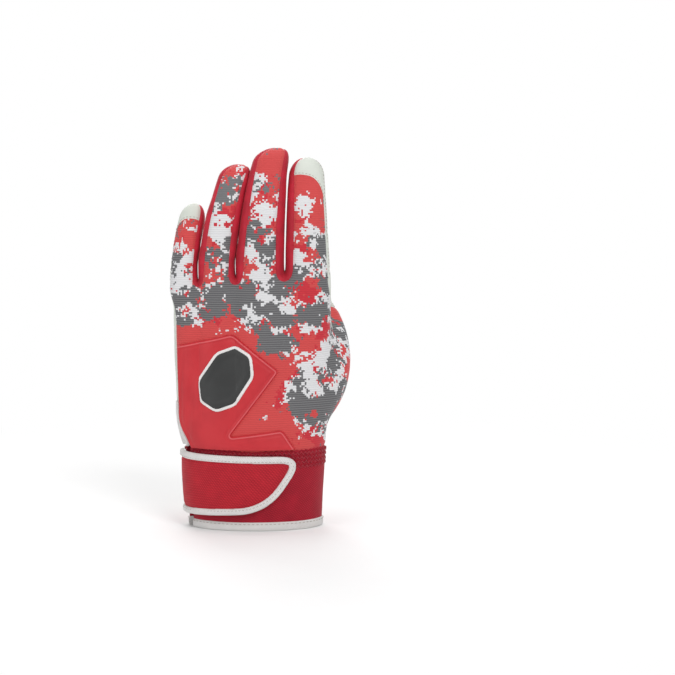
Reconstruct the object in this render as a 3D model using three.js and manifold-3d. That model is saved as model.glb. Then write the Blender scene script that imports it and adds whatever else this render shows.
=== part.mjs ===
// Left-hand batting glove, standing upright on its wrist hem.
// Millimetres. +Z runs up to the fingertips, -Y is the back of the hand, +Y the palm, +X the thumb side.
// It is sewn from panels: leather palm, knit back, gussets between the fingers, elastic cuff and strap.
import * as THREE from "three";
import { mergeVertices } from "three/addons/utils/BufferGeometryUtils.js";
import Module from "manifold-3d";

const wasm = await Module();
wasm.setup();
const rad = THREE.MathUtils.degToRad;
const mix = THREE.MathUtils.lerp;

// Sheet materials and clearances
const WALL = 1.4; // leather and knit panels
const GAP = 0.3; // clearance between neighbouring pieces
const PAD_WALL = 1.6; // moulded pad on the back of the hand
const RIM_WALL = 0.6; // pale layer of the badge, seen as its rim
const FACE_WALL = 0.7; // dark layer of the badge
const CREASE_CLEARANCE = 0.5; // from a finger's palm face to its crease line

// Wrist cuff and hem
const CUFF_HALF_WIDTH = 40; // at the hem
const CUFF_HALF_DEPTH = 23;
const CUFF_FLARE = 2.3; // how much farther out the cuff stands at its top
const CUFF_WALL = 2.4;
const CUFF_TOP = 49;
const HEM_HEIGHT = 5.5;
const HEM_PROUD = 0.7; // how far the hem binding stands out from the cuff on each side
const CUFF_CENTRE_Y = 2;
const SLIT_WIDTH = 9; // open gap in the cuff on the little-finger side
const SLIT_ANGLE = -74; // middle of that gap, in degrees round from the back of the hand
const SLIT_TOP = 76; // height where the gap closes above the cuff
const SLIT_BINDING = 2.4; // width of the pale binding along its back edge

// Closure strap
const STRAP_WALL = 2;
const STRAP_LOW = 8.5; // at its root
const STRAP_TIP_LOW = 11.5; // at its tip
const STRAP_HIGH = 46.5;
const STRAP_TIP_HIGH = 45.5;
const STRAP_REACH = 30; // X of the tip's upper corner before it is rounded
const STRAP_SLANT = 21.5; // how far the tip's lower corner lies behind its upper one
const STRAP_CORNER = 18; // length over which the tip's corners are rounded
const BINDING = 4; // width of the pale edging
const FASTENER_WALL = 0.8; // hook patch, and loop patch alike
const FASTENER_WIDTH = 32;
const FASTENER_HEIGHT = 18;
const FASTENER_ANGLE = -24; // middle of the patches, in degrees round from the back of the hand

// Pull tab below the palm
const TAB_WIDTH = 21.6;
const TAB_WALL = 1.6;
const TAB_TOP = 37;
const TAB_FOLD = 14; // height of the stitched fold where the free loop starts
const TAB_FLOOR_CLEARANCE = 0.8;

// Knuckle line, where the fingers bend at their roots
const KNUCKLE_HEIGHT = 147; // at X = 0
const KNUCKLE_TILT = 4; // degrees, rising towards the index finger
const MID_JOINT = 0.5; // share of a finger's length where its middle crease lies

// Finger section: angles from the back of the finger, where panels meet
const SQUARENESS = 2.4; // superellipse exponent of the sections
const BACK_EDGE = 44;
const INDEX_OUTER_EDGE = 62;
const PINKY_OUTER_EDGE = 80;
const PALM_EDGE = 120;
const CURL = 8; // how far a fingertip leans towards the palm
const CAP = 12; // length of the rounded fingertip
const TIP_WRAP = 15; // leather carried over the index and little fingertips

// Fingers: height of the tip, depth of the root's centre, and sections at the root and at the start of the tip
const FINGERS = [
  {
    name: "pinky",
    top: 194.5,
    y: 3.6,
    root: { x: -42.7, width: 16.6, depth: 18 },
    tip: { x: -37.2, width: 15, depth: 14.5 },
  },
  {
    name: "ring",
    top: 218.5,
    y: 2.2,
    root: { x: -22.9, width: 21.4, depth: 20.5 },
    tip: { x: -13.2, width: 18.2, depth: 16.5 },
  },
  {
    name: "middle",
    top: 228,
    y: 1.2,
    root: { x: 3.1, width: 28.2, depth: 22 },
    tip: { x: 9.2, width: 21.2, depth: 17.5 },
  },
  {
    name: "index",
    top: 221.5,
    y: 1.5,
    root: { x: 32.2, width: 26.6, depth: 21.5 },
    tip: { x: 31.2, width: 21, depth: 17 },
  },
];

// Thumb: centre of the seam at its base and its end, with its sections
const THUMB_BASE = new THREE.Vector3(34, 27.5, 132);
const THUMB_END = new THREE.Vector3(30.5, 37, 185);
const THUMB_BASE_WIDTH = 24.5;
const THUMB_BASE_DEPTH = 22;
const THUMB_TIP_WIDTH = 20.5;
const THUMB_TIP_DEPTH = 18.5;
const THUMB_CAP = 12;
const THUMB_MID_JOINT = 0.45; // share of its length where its middle crease lies
// The saddle curves from the ball of the thumb, out past the hand's edge, up to the thumb's base
const SADDLE_START = new THREE.Vector3(24, 3, 66);
const SADDLE_BULGE = new THREE.Vector3(65, 8, 96);
const SADDLE_WIDTH = 34;
const SADDLE_DEPTH = 34;

// Moulded pad and badge outlines on the back of the hand, as X and Z
const PAD_TOP_EDGE = [[-60, 106.5], [-44, 110.5], [-13, 117.5], [14.8, 95.5]];
const PAD_NOTCH = [[-14.6, 57], [16.8, 61], [24.8, CUFF_TOP], [-60, CUFF_TOP]];
const PAD_OUTLINE = [...PAD_TOP_EDGE, ...PAD_NOTCH];
const BADGE_CENTRE = [-16.5, 91];
const BADGE_LENGTH = 40;
const BADGE_WIDTH = 27;
const BADGE_TURN = -32; // degrees, leaning towards the thumb
const BADGE_RIM = 1.6;

const finish = (color, roughness) => new THREE.MeshStandardMaterial({ color, roughness, metalness: 0 });
const RED_FABRIC = () => finish(0xb01c30, 0.8);
const RED_PAD = () => finish(0xc8383c, 0.5);
const KNIT = () => finish(0xb04a4e, 0.8);
const LEATHER = () => finish(0xd9dcd5, 0.55);
const WHITE_TAPE = () => finish(0xe4e4e2, 0.75);
const WHITE_RIM = () => finish(0xe4e4e2, 0.4);
const DARK_FACE = () => finish(0x30312f, 0.4);
const PILE = () => finish(0x8c1d2c, 0.95);

// Solids

// A closed solid from outer and inner grids of points with the same rows and columns.
function shell(outer, inner) {
  const rows = outer.length;
  const columns = outer[0].length;
  const positions = [outer, inner].flat(2).flatMap((p) => [p.x, p.y, p.z]);
  const out = (r, c) => r * columns + c;
  const inn = (r, c) => rows * columns + out(r, c);
  const index = [];
  const quad = (a, b, c, d) => index.push(a, b, c, a, c, d);
  for (let r = 0; r + 1 < rows; r++) {
    for (let c = 0; c + 1 < columns; c++) {
      quad(out(r, c), out(r, c + 1), out(r + 1, c + 1), out(r + 1, c));
      quad(inn(r, c), inn(r + 1, c), inn(r + 1, c + 1), inn(r, c + 1));
    }
    quad(out(r, 0), out(r + 1, 0), inn(r + 1, 0), inn(r, 0));
    quad(out(r + 1, columns - 1), out(r, columns - 1), inn(r, columns - 1), inn(r + 1, columns - 1));
  }
  for (let c = 0; c + 1 < columns; c++) {
    quad(out(0, c + 1), out(0, c), inn(0, c), inn(0, c + 1));
    quad(out(rows - 1, c), out(rows - 1, c + 1), inn(rows - 1, c + 1), inn(rows - 1, c));
  }
  return facingOut(positions, index);
}

// A closed solid from rings of points, with a fan of triangles over each end.
function loft(rings) {
  const count = rings[0].length;
  const ends = [rings[0], rings[rings.length - 1]].map((ring) =>
    ring.reduce((sum, p) => sum.add(p), new THREE.Vector3()).divideScalar(count),
  );
  const positions = [...rings.flat(), ...ends].flatMap((p) => [p.x, p.y, p.z]);
  const index = [];
  rings.slice(1).forEach((_, r) => {
    for (let c = 0; c < count; c++) {
      const d = (c + 1) % count;
      const [a, b, e, f] = [r * count + c, r * count + d, (r + 1) * count + d, (r + 1) * count + c];
      index.push(a, b, e, a, e, f);
    }
  });
  const last = (rings.length - 1) * count;
  for (let c = 0; c < count; c++) {
    const d = (c + 1) % count;
    index.push(rings.length * count, d, c, rings.length * count + 1, last + c, last + d);
  }
  return facingOut(positions, index);
}

// Turns every face round if the closed mesh is inside out.
function facingOut(positions, index) {
  const p = (i) => new THREE.Vector3().fromArray(positions, 3 * i);
  let volume = 0;
  for (let i = 0; i < index.length; i += 3) {
    volume += p(index[i]).dot(p(index[i + 1]).cross(p(index[i + 2])));
  }
  if (volume < 0) {
    for (let i = 0; i < index.length; i += 3) [index[i + 1], index[i + 2]] = [index[i + 2], index[i + 1]];
  }
  return new THREE.BufferGeometry()
    .setAttribute("position", new THREE.Float32BufferAttribute(positions, 3))
    .setIndex(index);
}

function solid(geometry) {
  const bare = geometry.clone();
  bare.deleteAttribute("normal");
  bare.deleteAttribute("uv");
  const merged = mergeVertices(bare, 1e-4);
  return new wasm.Manifold(
    new wasm.Mesh({
      numProp: 3,
      vertProperties: new Float32Array(merged.attributes.position.array),
      triVerts: new Uint32Array(merged.index.array),
    }),
  );
}

function geometryOf(manifold) {
  const mesh = manifold.getMesh();
  return new THREE.BufferGeometry()
    .setAttribute("position", new THREE.BufferAttribute(new Float32Array(mesh.vertProperties), 3))
    .setIndex(new THREE.BufferAttribute(new Uint32Array(mesh.triVerts), 1));
}

const polygon = (points) => new THREE.Shape(points.map(([x, z]) => new THREE.Vector2(x, z)));

// A prism with an outline in X and Z, running along Y from one depth to another.
function prism(outline, fromY, toY) {
  const options = { depth: toY - fromY, bevelEnabled: false, curveSegments: 5 };
  const geometry = new THREE.ExtrudeGeometry(outline, options);
  geometry.rotateX(Math.PI / 2);
  geometry.translate(0, toY, 0);
  return solid(geometry);
}

// Sections

// A point on a unit superellipse, at an angle from the back of the hand towards the thumb side.
function unitSection(degrees) {
  const s = Math.sin(rad(degrees));
  const c = Math.cos(rad(degrees));
  const power = 2 / SQUARENESS;
  return [Math.sign(s) * Math.abs(s) ** power, -Math.sign(c) * Math.abs(c) ** power];
}

const steps = (from, to, count) => Array.from({ length: count + 1 }, (_, i) => mix(from, to, i / count));
const knuckleDirection = new THREE.Vector3(Math.cos(rad(KNUCKLE_TILT)), 0, Math.sin(rad(KNUCKLE_TILT)));
const knuckleZ = (x) => KNUCKLE_HEIGHT + x * Math.tan(rad(KNUCKLE_TILT));

// The frame of a finger's section at a share t of the way from its root to the start of its rounded tip.
function fingerFrame(finger, t) {
  const root = knuckleZ(finger.root.x);
  const length = finger.top - CAP - root;
  const centre = new THREE.Vector3(
    mix(finger.root.x, finger.tip.x, t * t),
    finger.y + CURL * t * t,
    root + length * t,
  );
  const along = new THREE.Vector3((finger.tip.x - finger.root.x) * 2 * t, CURL * 2 * t, length).normalize();
  const across = new THREE.Vector3(1, 0, 0).addScaledVector(along, -along.x).normalize();
  across.lerp(knuckleDirection, Math.max(0, 1 - t / MID_JOINT) ** 2).normalize();
  const depth = new THREE.Vector3().crossVectors(along, across).normalize();
  const level = new THREE.Vector3(0, 1, 0);
  depth.lerp(level, Math.max(0, 1 - t / MID_JOINT) ** 2).normalize();
  return {
    centre,
    along,
    across,
    depth,
    halfWidth: mix(finger.root.width, finger.tip.width, t ** 0.8) / 2,
    halfDepth: mix(finger.root.depth, finger.tip.depth, t) / 2,
  };
}

// A point on a finger or thumb. A station is a frame with a cap angle, 0 before the rounded tip starts.
function stationPoint({ frame, cap, capLength }, degrees, inset) {
  const [x, y] = unitSection(degrees);
  const shrink = Math.cos(rad(cap));
  return frame.centre
    .clone()
    .addScaledVector(frame.along, Math.sin(rad(cap)) * (capLength - inset))
    .addScaledVector(frame.across, x * shrink * (frame.halfWidth - inset))
    .addScaledVector(frame.depth, y * shrink * (frame.halfDepth - inset));
}

const CAP_ANGLES = [25, 47, 65, 80];
const fingerStations = (finger, from, to, count, caps = []) => [
  ...steps(from, to, count).map((t) => ({ frame: fingerFrame(finger, t), cap: 0, capLength: CAP })),
  ...caps.map((cap) => ({ frame: fingerFrame(finger, 1), cap, capLength: CAP })),
];

// A panel between two angles of a row of stations, kept half a clearance inside each edge.
function panel(stations, fromDegrees, toDegrees, count) {
  const grid = (inset) =>
    stations.map((station) => {
      const radius = Math.max(2, Math.cos(rad(station.cap)) * station.frame.halfWidth);
      const trim = THREE.MathUtils.radToDeg(GAP / radius);
      const angles = steps(fromDegrees + trim, toDegrees - trim, count);
      return angles.map((degrees) => stationPoint(station, degrees, inset));
    });
  return shell(grid(0), grid(WALL));
}

// Hand

// The hand's outline is a loop of eight columns: the four finger roots over the back, then over the palm.
const PALM_BACK_EDGE = 180 - PALM_EDGE;
const COLUMNS = [
  [0, -90, BACK_EDGE],
  [1, -BACK_EDGE, BACK_EDGE],
  [2, -BACK_EDGE, BACK_EDGE],
  [3, -BACK_EDGE, 90],
  [3, 90, 180 + PALM_BACK_EDGE],
  [2, PALM_EDGE, 180 + PALM_BACK_EDGE],
  [1, PALM_EDGE, 180 + PALM_BACK_EDGE],
  [0, PALM_EDGE, 270],
].map(([finger, from, to]) => ({ finger: FINGERS[finger], from, to }));
const rootPoint = (finger, degrees) =>
  stationPoint({ frame: fingerFrame(finger, 0), cap: 0, capLength: CAP }, degrees, 0);

// Where two neighbouring columns meet at the knuckle line.
const VALLEYS = COLUMNS.map((column, i) => {
  const next = COLUMNS[(i + 1) % COLUMNS.length];
  return rootPoint(column.finger, column.to).add(rootPoint(next.finger, next.from)).multiplyScalar(0.5);
});

function knucklePoint(v) {
  const loop = ((v % 8) + 8) % 8;
  const i = Math.floor(loop);
  const s = loop - i;
  const { finger, from, to } = COLUMNS[i];
  const point = rootPoint(finger, mix(from, to, s));
  point.addScaledVector(VALLEYS[(i + 7) % 8].clone().sub(rootPoint(finger, from)), (1 - s) ** 4);
  return point.addScaledVector(VALLEYS[i].clone().sub(rootPoint(finger, to)), s ** 4);
}

const handLow = knucklePoint(0).x;
const handHigh = knucklePoint(4).x;
const HAND_START = CUFF_TOP + GAP; // the panels are sewn edge to edge to the cuff
const WIDEN = 4; // how fast the hand widens above the wrist
const flat = (q) => Math.sqrt(Math.max(0, 1 - q * q));

function handSurface(v, u) {
  const loop = ((v % 8) + 8) % 8;
  const knuckle = knucklePoint(loop);
  const q = THREE.MathUtils.clamp((2 * (knuckle.x - handLow)) / (handHigh - handLow) - 1, -1, 1);
  const side = loop < 4 ? -1 : 1;
  const wristX = (CUFF_HALF_WIDTH + CUFF_FLARE) * q;
  const wristY = CUFF_CENTRE_Y + side * (CUFF_HALF_DEPTH + CUFF_FLARE) * flat(q);
  return new THREE.Vector3(
    mix(wristX, knuckle.x, 1 - (1 - u) ** WIDEN),
    mix(wristY, knuckle.y, u),
    mix(HAND_START, knuckle.z, u),
  );
}

// The hand's surface, moved inwards by an inset or outwards by a negative one.
function handPoint(v, u, inset) {
  const point = handSurface(v, u);
  const step = 0.08;
  const alongV = handSurface(v + step, u).sub(handSurface(v - step, u));
  const alongU = handSurface(v, Math.min(1, u + 0.02)).sub(handSurface(v, Math.max(0, u - 0.02)));
  const normal = alongU.cross(alongV).normalize();
  normal.z = 0;
  return point.addScaledVector(normal.normalize(), inset);
}

const HAND_ROWS = 9;
const COLUMN_STEPS = 5;
function handSolid(offset) {
  const loop = steps(0, 8, 8 * COLUMN_STEPS).slice(0, -1);
  return solid(loft(steps(0, 1, HAND_ROWS).map((u) => loop.map((v) => handPoint(v, u, -offset)))));
}

// A hand panel from one place on the loop to another. The edges may differ from row to row.
function handPanel(from, to, count, outer, inner) {
  const last = 1 - GAP / (KNUCKLE_HEIGHT - HAND_START);
  const grid = (offset) =>
    steps(0, last, HAND_ROWS).map((u) => steps(from(u), to(u), count).map((v) => handPoint(v, u, -offset)));
  return solid(shell(grid(outer), grid(inner)));
}

// The cuff's ends, as angles round from the back of the hand
const slitHalfAngle = THREE.MathUtils.radToDeg(SLIT_WIDTH / 2 / CUFF_HALF_WIDTH);
const cuffStart = SLIT_ANGLE + slitHalfAngle;
const cuffEnd = SLIT_ANGLE - slitHalfAngle + 360;

// Places on the loop for an edge angle on the outer columns
const indexEdge = 3 + (INDEX_OUTER_EDGE + BACK_EDGE) / (90 + BACK_EDGE);
const pinkyEdge = (90 - PINKY_OUTER_EDGE) / (90 + BACK_EDGE);
const columnWidth = handSurface(0, 0).distanceTo(handSurface(1, 0));
const SEAM = GAP / 2 / columnWidth; // half the clearance at a side seam, in columns
const WRIST_SEAM = 4.55; // where the seam on the thumb side starts at the wrist, on the palm
const WRIST_SEAM_RISE = 0.3; // share of the hand's height over which it swings to the edge
const handHeight = (u) => mix(HAND_START, KNUCKLE_HEIGHT, u);
const slitShare = (u) => Math.max(0, SLIT_TOP - handHeight(u)) / (SLIT_TOP - HAND_START);
// The place on the back's little-finger side that lies at an angle round the wrist
function loopAtWrist(degrees) {
  const x = Math.sin(rad(degrees)) * (CUFF_HALF_WIDTH + CUFF_FLARE);
  let [low, high] = [0, 1];
  for (let i = 0; i < 24; i++) {
    const half = (low + high) / 2;
    [low, high] = handSurface(half, 0).x < x ? [half, high] : [low, half];
  }
  return low;
}
const slitBack = loopAtWrist(cuffStart);
const slitPalm = loopAtWrist(cuffEnd - 360);
const backStart = (u) => mix(pinkyEdge, slitBack, slitShare(u)) + SEAM;
const thumbSeam = (u) => mix(WRIST_SEAM, indexEdge, THREE.MathUtils.smoothstep(u, 0, WRIST_SEAM_RISE));
const backEnd = (u) => thumbSeam(u) - SEAM;
const palmStart = (u) => thumbSeam(u) + SEAM;
const palmEnd = (u) => 8 + mix(pinkyEdge, Math.min(pinkyEdge, slitPalm), slitShare(u)) - SEAM;

// Thumb and its saddle

function tubeFrame(centre, along, width, depth) {
  const across = new THREE.Vector3(1, 0, 0).addScaledVector(along, -along.x).normalize();
  return {
    centre,
    along,
    across,
    depth: new THREE.Vector3().crossVectors(along, across).normalize(),
    halfWidth: width / 2,
    halfDepth: depth / 2,
  };
}

const thumbAlong = THUMB_END.clone().sub(THUMB_BASE).normalize();
const thumbLength = THUMB_END.distanceTo(THUMB_BASE) - THUMB_CAP;
const thumbFrame = (t) =>
  tubeFrame(
    THUMB_BASE.clone().addScaledVector(thumbAlong, thumbLength * t),
    thumbAlong,
    mix(THUMB_BASE_WIDTH, THUMB_TIP_WIDTH, t),
    mix(THUMB_BASE_DEPTH, THUMB_TIP_DEPTH, t),
  );
const thumbStations = (from, to, count, caps = []) => [
  ...steps(from, to, count).map((t) => ({ frame: thumbFrame(t), cap: 0, capLength: THUMB_CAP })),
  ...caps.map((cap) => ({ frame: thumbFrame(1), cap, capLength: THUMB_CAP })),
];

const SADDLE_ROWS = 8;
function saddleSolid(inset) {
  const path = new THREE.QuadraticBezierCurve3(SADDLE_START, SADDLE_BULGE, THUMB_BASE);
  const rings = steps(0, 1, SADDLE_ROWS).map((t) => {
    const along = path.getTangent(t).lerp(thumbAlong, t * t).normalize();
    const width = mix(SADDLE_WIDTH, THUMB_BASE_WIDTH, t);
    const depth = mix(SADDLE_DEPTH, THUMB_BASE_DEPTH, t);
    const frame = tubeFrame(path.getPoint(t), along, width, depth);
    const station = { frame, cap: 0, capLength: 0 };
    return steps(0, 360, 24).slice(0, -1).map((degrees) => stationPoint(station, degrees, inset));
  });
  return solid(loft(rings));
}

// Cuff

function cuffPoint(offset, degrees, z) {
  const out = offset + (CUFF_FLARE * z) / CUFF_TOP;
  const x = Math.sin(rad(degrees)) * (CUFF_HALF_WIDTH + out);
  const y = -Math.cos(rad(degrees)) * (CUFF_HALF_DEPTH + out);
  return new THREE.Vector3(x, CUFF_CENTRE_Y + y, z);
}

const CUFF_STEPS = 44;

// A band of the cuff between two offsets, two heights and two angles.
function cuffBand(inner, outer, low, high, from, to, count = CUFF_STEPS) {
  const grid = (offset) =>
    [low, high].map((z) => steps(from, to, count).map((degrees) => cuffPoint(offset, degrees, z)));
  return shell(grid(outer), grid(inner));
}

// Strap

// The strap's outline, with its tip slanted and its corners rounded. Inset draws the field inside the edging.
function strapOutline(inset) {
  const tipHeight = STRAP_TIP_HIGH - STRAP_TIP_LOW;
  const lean = STRAP_SLANT / tipHeight;
  const corner = Math.min(STRAP_CORNER, Math.hypot(STRAP_SLANT, tipHeight) / 2.1);
  const [upperInset, lowerInset] = [lean, -lean].map((turn) => inset * (Math.hypot(1, lean) + turn));
  const [upperRound, lowerRound] = [upperInset, lowerInset].map((drawn) => Math.max(1, corner - drawn));
  const high = STRAP_TIP_HIGH - inset;
  const low = STRAP_TIP_LOW + inset;
  const upper = new THREE.Vector2(STRAP_REACH - upperInset, high);
  const lower = new THREE.Vector2(STRAP_REACH - STRAP_SLANT - lowerInset, low);
  const slope = lower.clone().sub(upper).normalize();
  const shape = new THREE.Shape();
  shape.moveTo(-2 * CUFF_HALF_WIDTH, STRAP_LOW + inset);
  shape.lineTo(-CUFF_HALF_WIDTH, STRAP_LOW + inset);
  shape.lineTo(lower.x - lowerRound, low);
  shape.quadraticCurveTo(lower.x, low, lower.x - slope.x * lowerRound, low - slope.y * lowerRound);
  shape.lineTo(upper.x + slope.x * upperRound, high + slope.y * upperRound);
  shape.quadraticCurveTo(upper.x, high, upper.x - upperRound, high);
  shape.lineTo(-CUFF_HALF_WIDTH, STRAP_HIGH - inset);
  shape.lineTo(-2 * CUFF_HALF_WIDTH, STRAP_HIGH - inset);
  shape.closePath();
  return shape;
}

const STRAP_ROOT_ANGLE = -92;
const STRAP_TIP_ANGLE = 60;
const STRAP_STEPS = 26;
const strapBase = FASTENER_WALL * 2 + GAP * 3; // the strap lies over both fastener patches
function strapLayer(inner, outer) {
  const [low, high] = [STRAP_LOW - BINDING, STRAP_HIGH + BINDING];
  return solid(cuffBand(inner, outer, low, high, STRAP_ROOT_ANGLE, STRAP_TIP_ANGLE, STRAP_STEPS));
}
const FRONT = -4 * CUFF_HALF_DEPTH;
const strapPrism = (inset) => prism(strapOutline(inset), FRONT, -FRONT);

// Badge outline: a long hexagon with blunt ends, turned on the back of the hand.
function badgeOutline(inset) {
  const length = BADGE_LENGTH / 2 - inset;
  const width = BADGE_WIDTH / 2 - inset;
  const shoulder = length * 0.5;
  const nose = width * 0.42;
  const corners = [[nose, length], [width, shoulder], [width, -shoulder], [nose, -length]];
  const loop = [...corners, ...corners.map(([x, z]) => [-x, -z])];
  const [c, s] = [Math.cos(rad(BADGE_TURN)), Math.sin(rad(BADGE_TURN))];
  return polygon(loop.map(([x, z]) => [BADGE_CENTRE[0] + x * c - z * s, BADGE_CENTRE[1] + x * s + z * c]));
}

// Assembly

const glove = new THREE.Group();
function add(name, geometry, surface) {
  const mesh = new THREE.Mesh(geometry, surface);
  mesh.name = name;
  glove.add(mesh);
}

// Palm, back and thumb saddle
const thumbBore = saddleSolid(WALL);
const palmPanel = (outer, inner) => handPanel(palmStart, palmEnd, 28, outer, inner);
const backPanel = (outer, inner) => handPanel(backStart, backEnd, 22, outer, inner);
add("palm_panel", geometryOf(palmPanel(0, -WALL).subtract(thumbBore)), LEATHER());
add("back_panel", geometryOf(backPanel(0, -WALL).subtract(thumbBore)), KNIT());
const saddleTube = saddleSolid(0).subtract(thumbBore);
const grownHand = [handSolid(GAP), palmPanel(GAP, -WALL), backPanel(GAP, -WALL)];
const saddleShell = grownHand.reduce((tube, hand) => tube.subtract(hand), saddleTube);
const outsideHand = saddleShell.decompose().reduce((a, b) => (a.volume() > b.volume() ? a : b));
add("thumb_saddle", geometryOf(outsideHand), KNIT());

// Moulded pad and its blank badge
const padPrism = prism(polygon(PAD_OUTLINE), FRONT, CUFF_CENTRE_Y);
const padTop = GAP + PAD_WALL;
const rimTop = padTop + GAP + RIM_WALL;
add("back_pad", geometryOf(backPanel(padTop, GAP).intersect(padPrism)), RED_PAD());
const rimPrism = prism(badgeOutline(0), FRONT, CUFF_CENTRE_Y);
const facePrism = prism(badgeOutline(BADGE_RIM), FRONT, CUFF_CENTRE_Y);
const faceLow = rimTop + GAP;
add("badge_rim", geometryOf(backPanel(rimTop, padTop + GAP).intersect(rimPrism)), WHITE_RIM());
add("badge_face", geometryOf(backPanel(faceLow + FACE_WALL, faceLow).intersect(facePrism)), DARK_FACE());

// Fingers: two segments each, of a back panel, a palm panel and gussets on the sides that face a neighbour
const segments = (middle, gapShare) => [
  { part: "lower", from: gapShare, to: middle - gapShare / 2, caps: [] },
  { part: "tip", from: middle + gapShare / 2, to: 1, caps: CAP_ANGLES },
];
const FINGER_ROWS = 4;
FINGERS.forEach((finger, place) => {
  const outerLeft = place === 0;
  const outerRight = place === FINGERS.length - 1;
  const left = outerLeft ? -PINKY_OUTER_EDGE : -BACK_EDGE;
  const right = outerRight ? INDEX_OUTER_EDGE : BACK_EDGE;
  const palmFrom = outerRight ? right : PALM_EDGE;
  const palmTo = outerLeft ? 360 + left : 360 - PALM_EDGE;
  const length = finger.top - CAP - knuckleZ(finger.root.x);
  for (const { part, from, to, caps } of segments(MID_JOINT, GAP / length)) {
    const name = `${finger.name}_${part}`;
    const stations = fingerStations(finger, from, to, FINGER_ROWS, caps);
    const wrapped = caps.length > 0 && (outerLeft || outerRight);
    const wrapAt = to - Math.max(0, TIP_WRAP - CAP) / length;
    const backTo = wrapped ? wrapAt - GAP / length : to;
    const backStations = fingerStations(finger, from, backTo, FINGER_ROWS, wrapped ? [] : caps);
    const palmSteps = outerLeft || outerRight ? 8 : 6;
    add(`${name}_back`, panel(backStations, left, right, 6), KNIT());
    add(`${name}_palm`, panel(stations, palmFrom, palmTo, palmSteps), LEATHER());
    if (wrapped) {
      const wrapStations = fingerStations(finger, wrapAt, to, 1, caps);
      add(`${name}_wrap`, panel(wrapStations, left, right, 6), LEATHER());
    }
    if (!outerRight) {
      add(`${name}_gusset_thumbside`, panel(stations, BACK_EDGE, PALM_EDGE, 2), RED_FABRIC());
    }
    if (!outerLeft) {
      add(`${name}_gusset_outside`, panel(stations, -PALM_EDGE, -BACK_EDGE, 2), RED_FABRIC());
    }
  }
});

// Thumb: two segments of two leather halves
const THUMB_ROWS = 3;
for (const { part, from, to, caps } of segments(THUMB_MID_JOINT, GAP / thumbLength)) {
  const stations = thumbStations(from, to, THUMB_ROWS, caps);
  add(`thumb_${part}_inner`, panel(stations, -90, 90, 8), LEATHER());
  add(`thumb_${part}_outer`, panel(stations, 90, 270, 8), LEATHER());
}

// Cuff, hem and fastener patches
const hemInner = -CUFF_WALL - HEM_PROUD;
add("cuff_band", cuffBand(-CUFF_WALL, 0, HEM_HEIGHT + GAP, CUFF_TOP, cuffStart, cuffEnd), RED_FABRIC());
add("hem_binding", cuffBand(hemInner, HEM_PROUD, 0, HEM_HEIGHT, cuffStart, cuffEnd), WHITE_TAPE());
const patchLow = (STRAP_LOW + STRAP_TIP_HIGH - FASTENER_HEIGHT) / 2;
const patchHalfAngle = THREE.MathUtils.radToDeg(FASTENER_WIDTH / 2 / CUFF_HALF_WIDTH);
function patch(inner) {
  const ends = [FASTENER_ANGLE - patchHalfAngle, FASTENER_ANGLE + patchHalfAngle];
  return cuffBand(inner, inner + FASTENER_WALL, patchLow, patchLow + FASTENER_HEIGHT, ...ends, 10);
}
add("loop_patch", patch(GAP), PILE());

// Strap with its edging and hook patch
const strapTop = strapBase + STRAP_WALL;
const strapField = strapLayer(strapBase, strapTop).intersect(strapPrism(BINDING + GAP));
const strapEdging = strapLayer(strapBase, strapTop).intersect(strapPrism(0)).subtract(strapPrism(BINDING));
add("strap", geometryOf(strapField), RED_FABRIC());
add("strap_binding", geometryOf(strapEdging), WHITE_TAPE());
add("hook_patch", patch(FASTENER_WALL + 2 * GAP), PILE());

// Binding along the slit's back edge
const slitTopShare = (SLIT_TOP - HAND_START) / (KNUCKLE_HEIGHT - HAND_START);
const slitRows = steps(0, slitTopShare * (1 - (SLIT_BINDING + 2 * GAP) / SLIT_WIDTH), 5);
const slitEdge = (inset) =>
  slitRows.map((u) =>
    [SLIT_BINDING + GAP, GAP].map((reach) => handPoint(backStart(u) - reach / columnWidth, u, inset)),
  );
add("slit_binding", shell(slitEdge(-PAD_WALL), slitEdge(WALL)), WHITE_TAPE());

// Pull tab: a stitched patch with a free loop below its fold
const tabAngle = THREE.MathUtils.radToDeg(TAB_WIDTH / 2 / CUFF_HALF_WIDTH);
const tabRest = HEM_PROUD + GAP;
const TAB_STEPS = 4;
const tabBand = (inner, low, high) =>
  cuffBand(inner, inner + TAB_WALL, low, high, 180 - tabAngle, 180 + tabAngle, TAB_STEPS);
add("tab_patch", tabBand(GAP, TAB_FOLD, TAB_TOP), RED_FABRIC());
add("tab_loop", tabBand(tabRest, TAB_FLOOR_CLEARANCE, TAB_FOLD - GAP), RED_FABRIC());

// The glove stands on its hem, with the middle of its footprint at the origin.
const box = new THREE.Box3().setFromObject(glove);
const middle = box.getCenter(new THREE.Vector3());
glove.position.set(-middle.x, -middle.y, -box.min.z);

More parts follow.
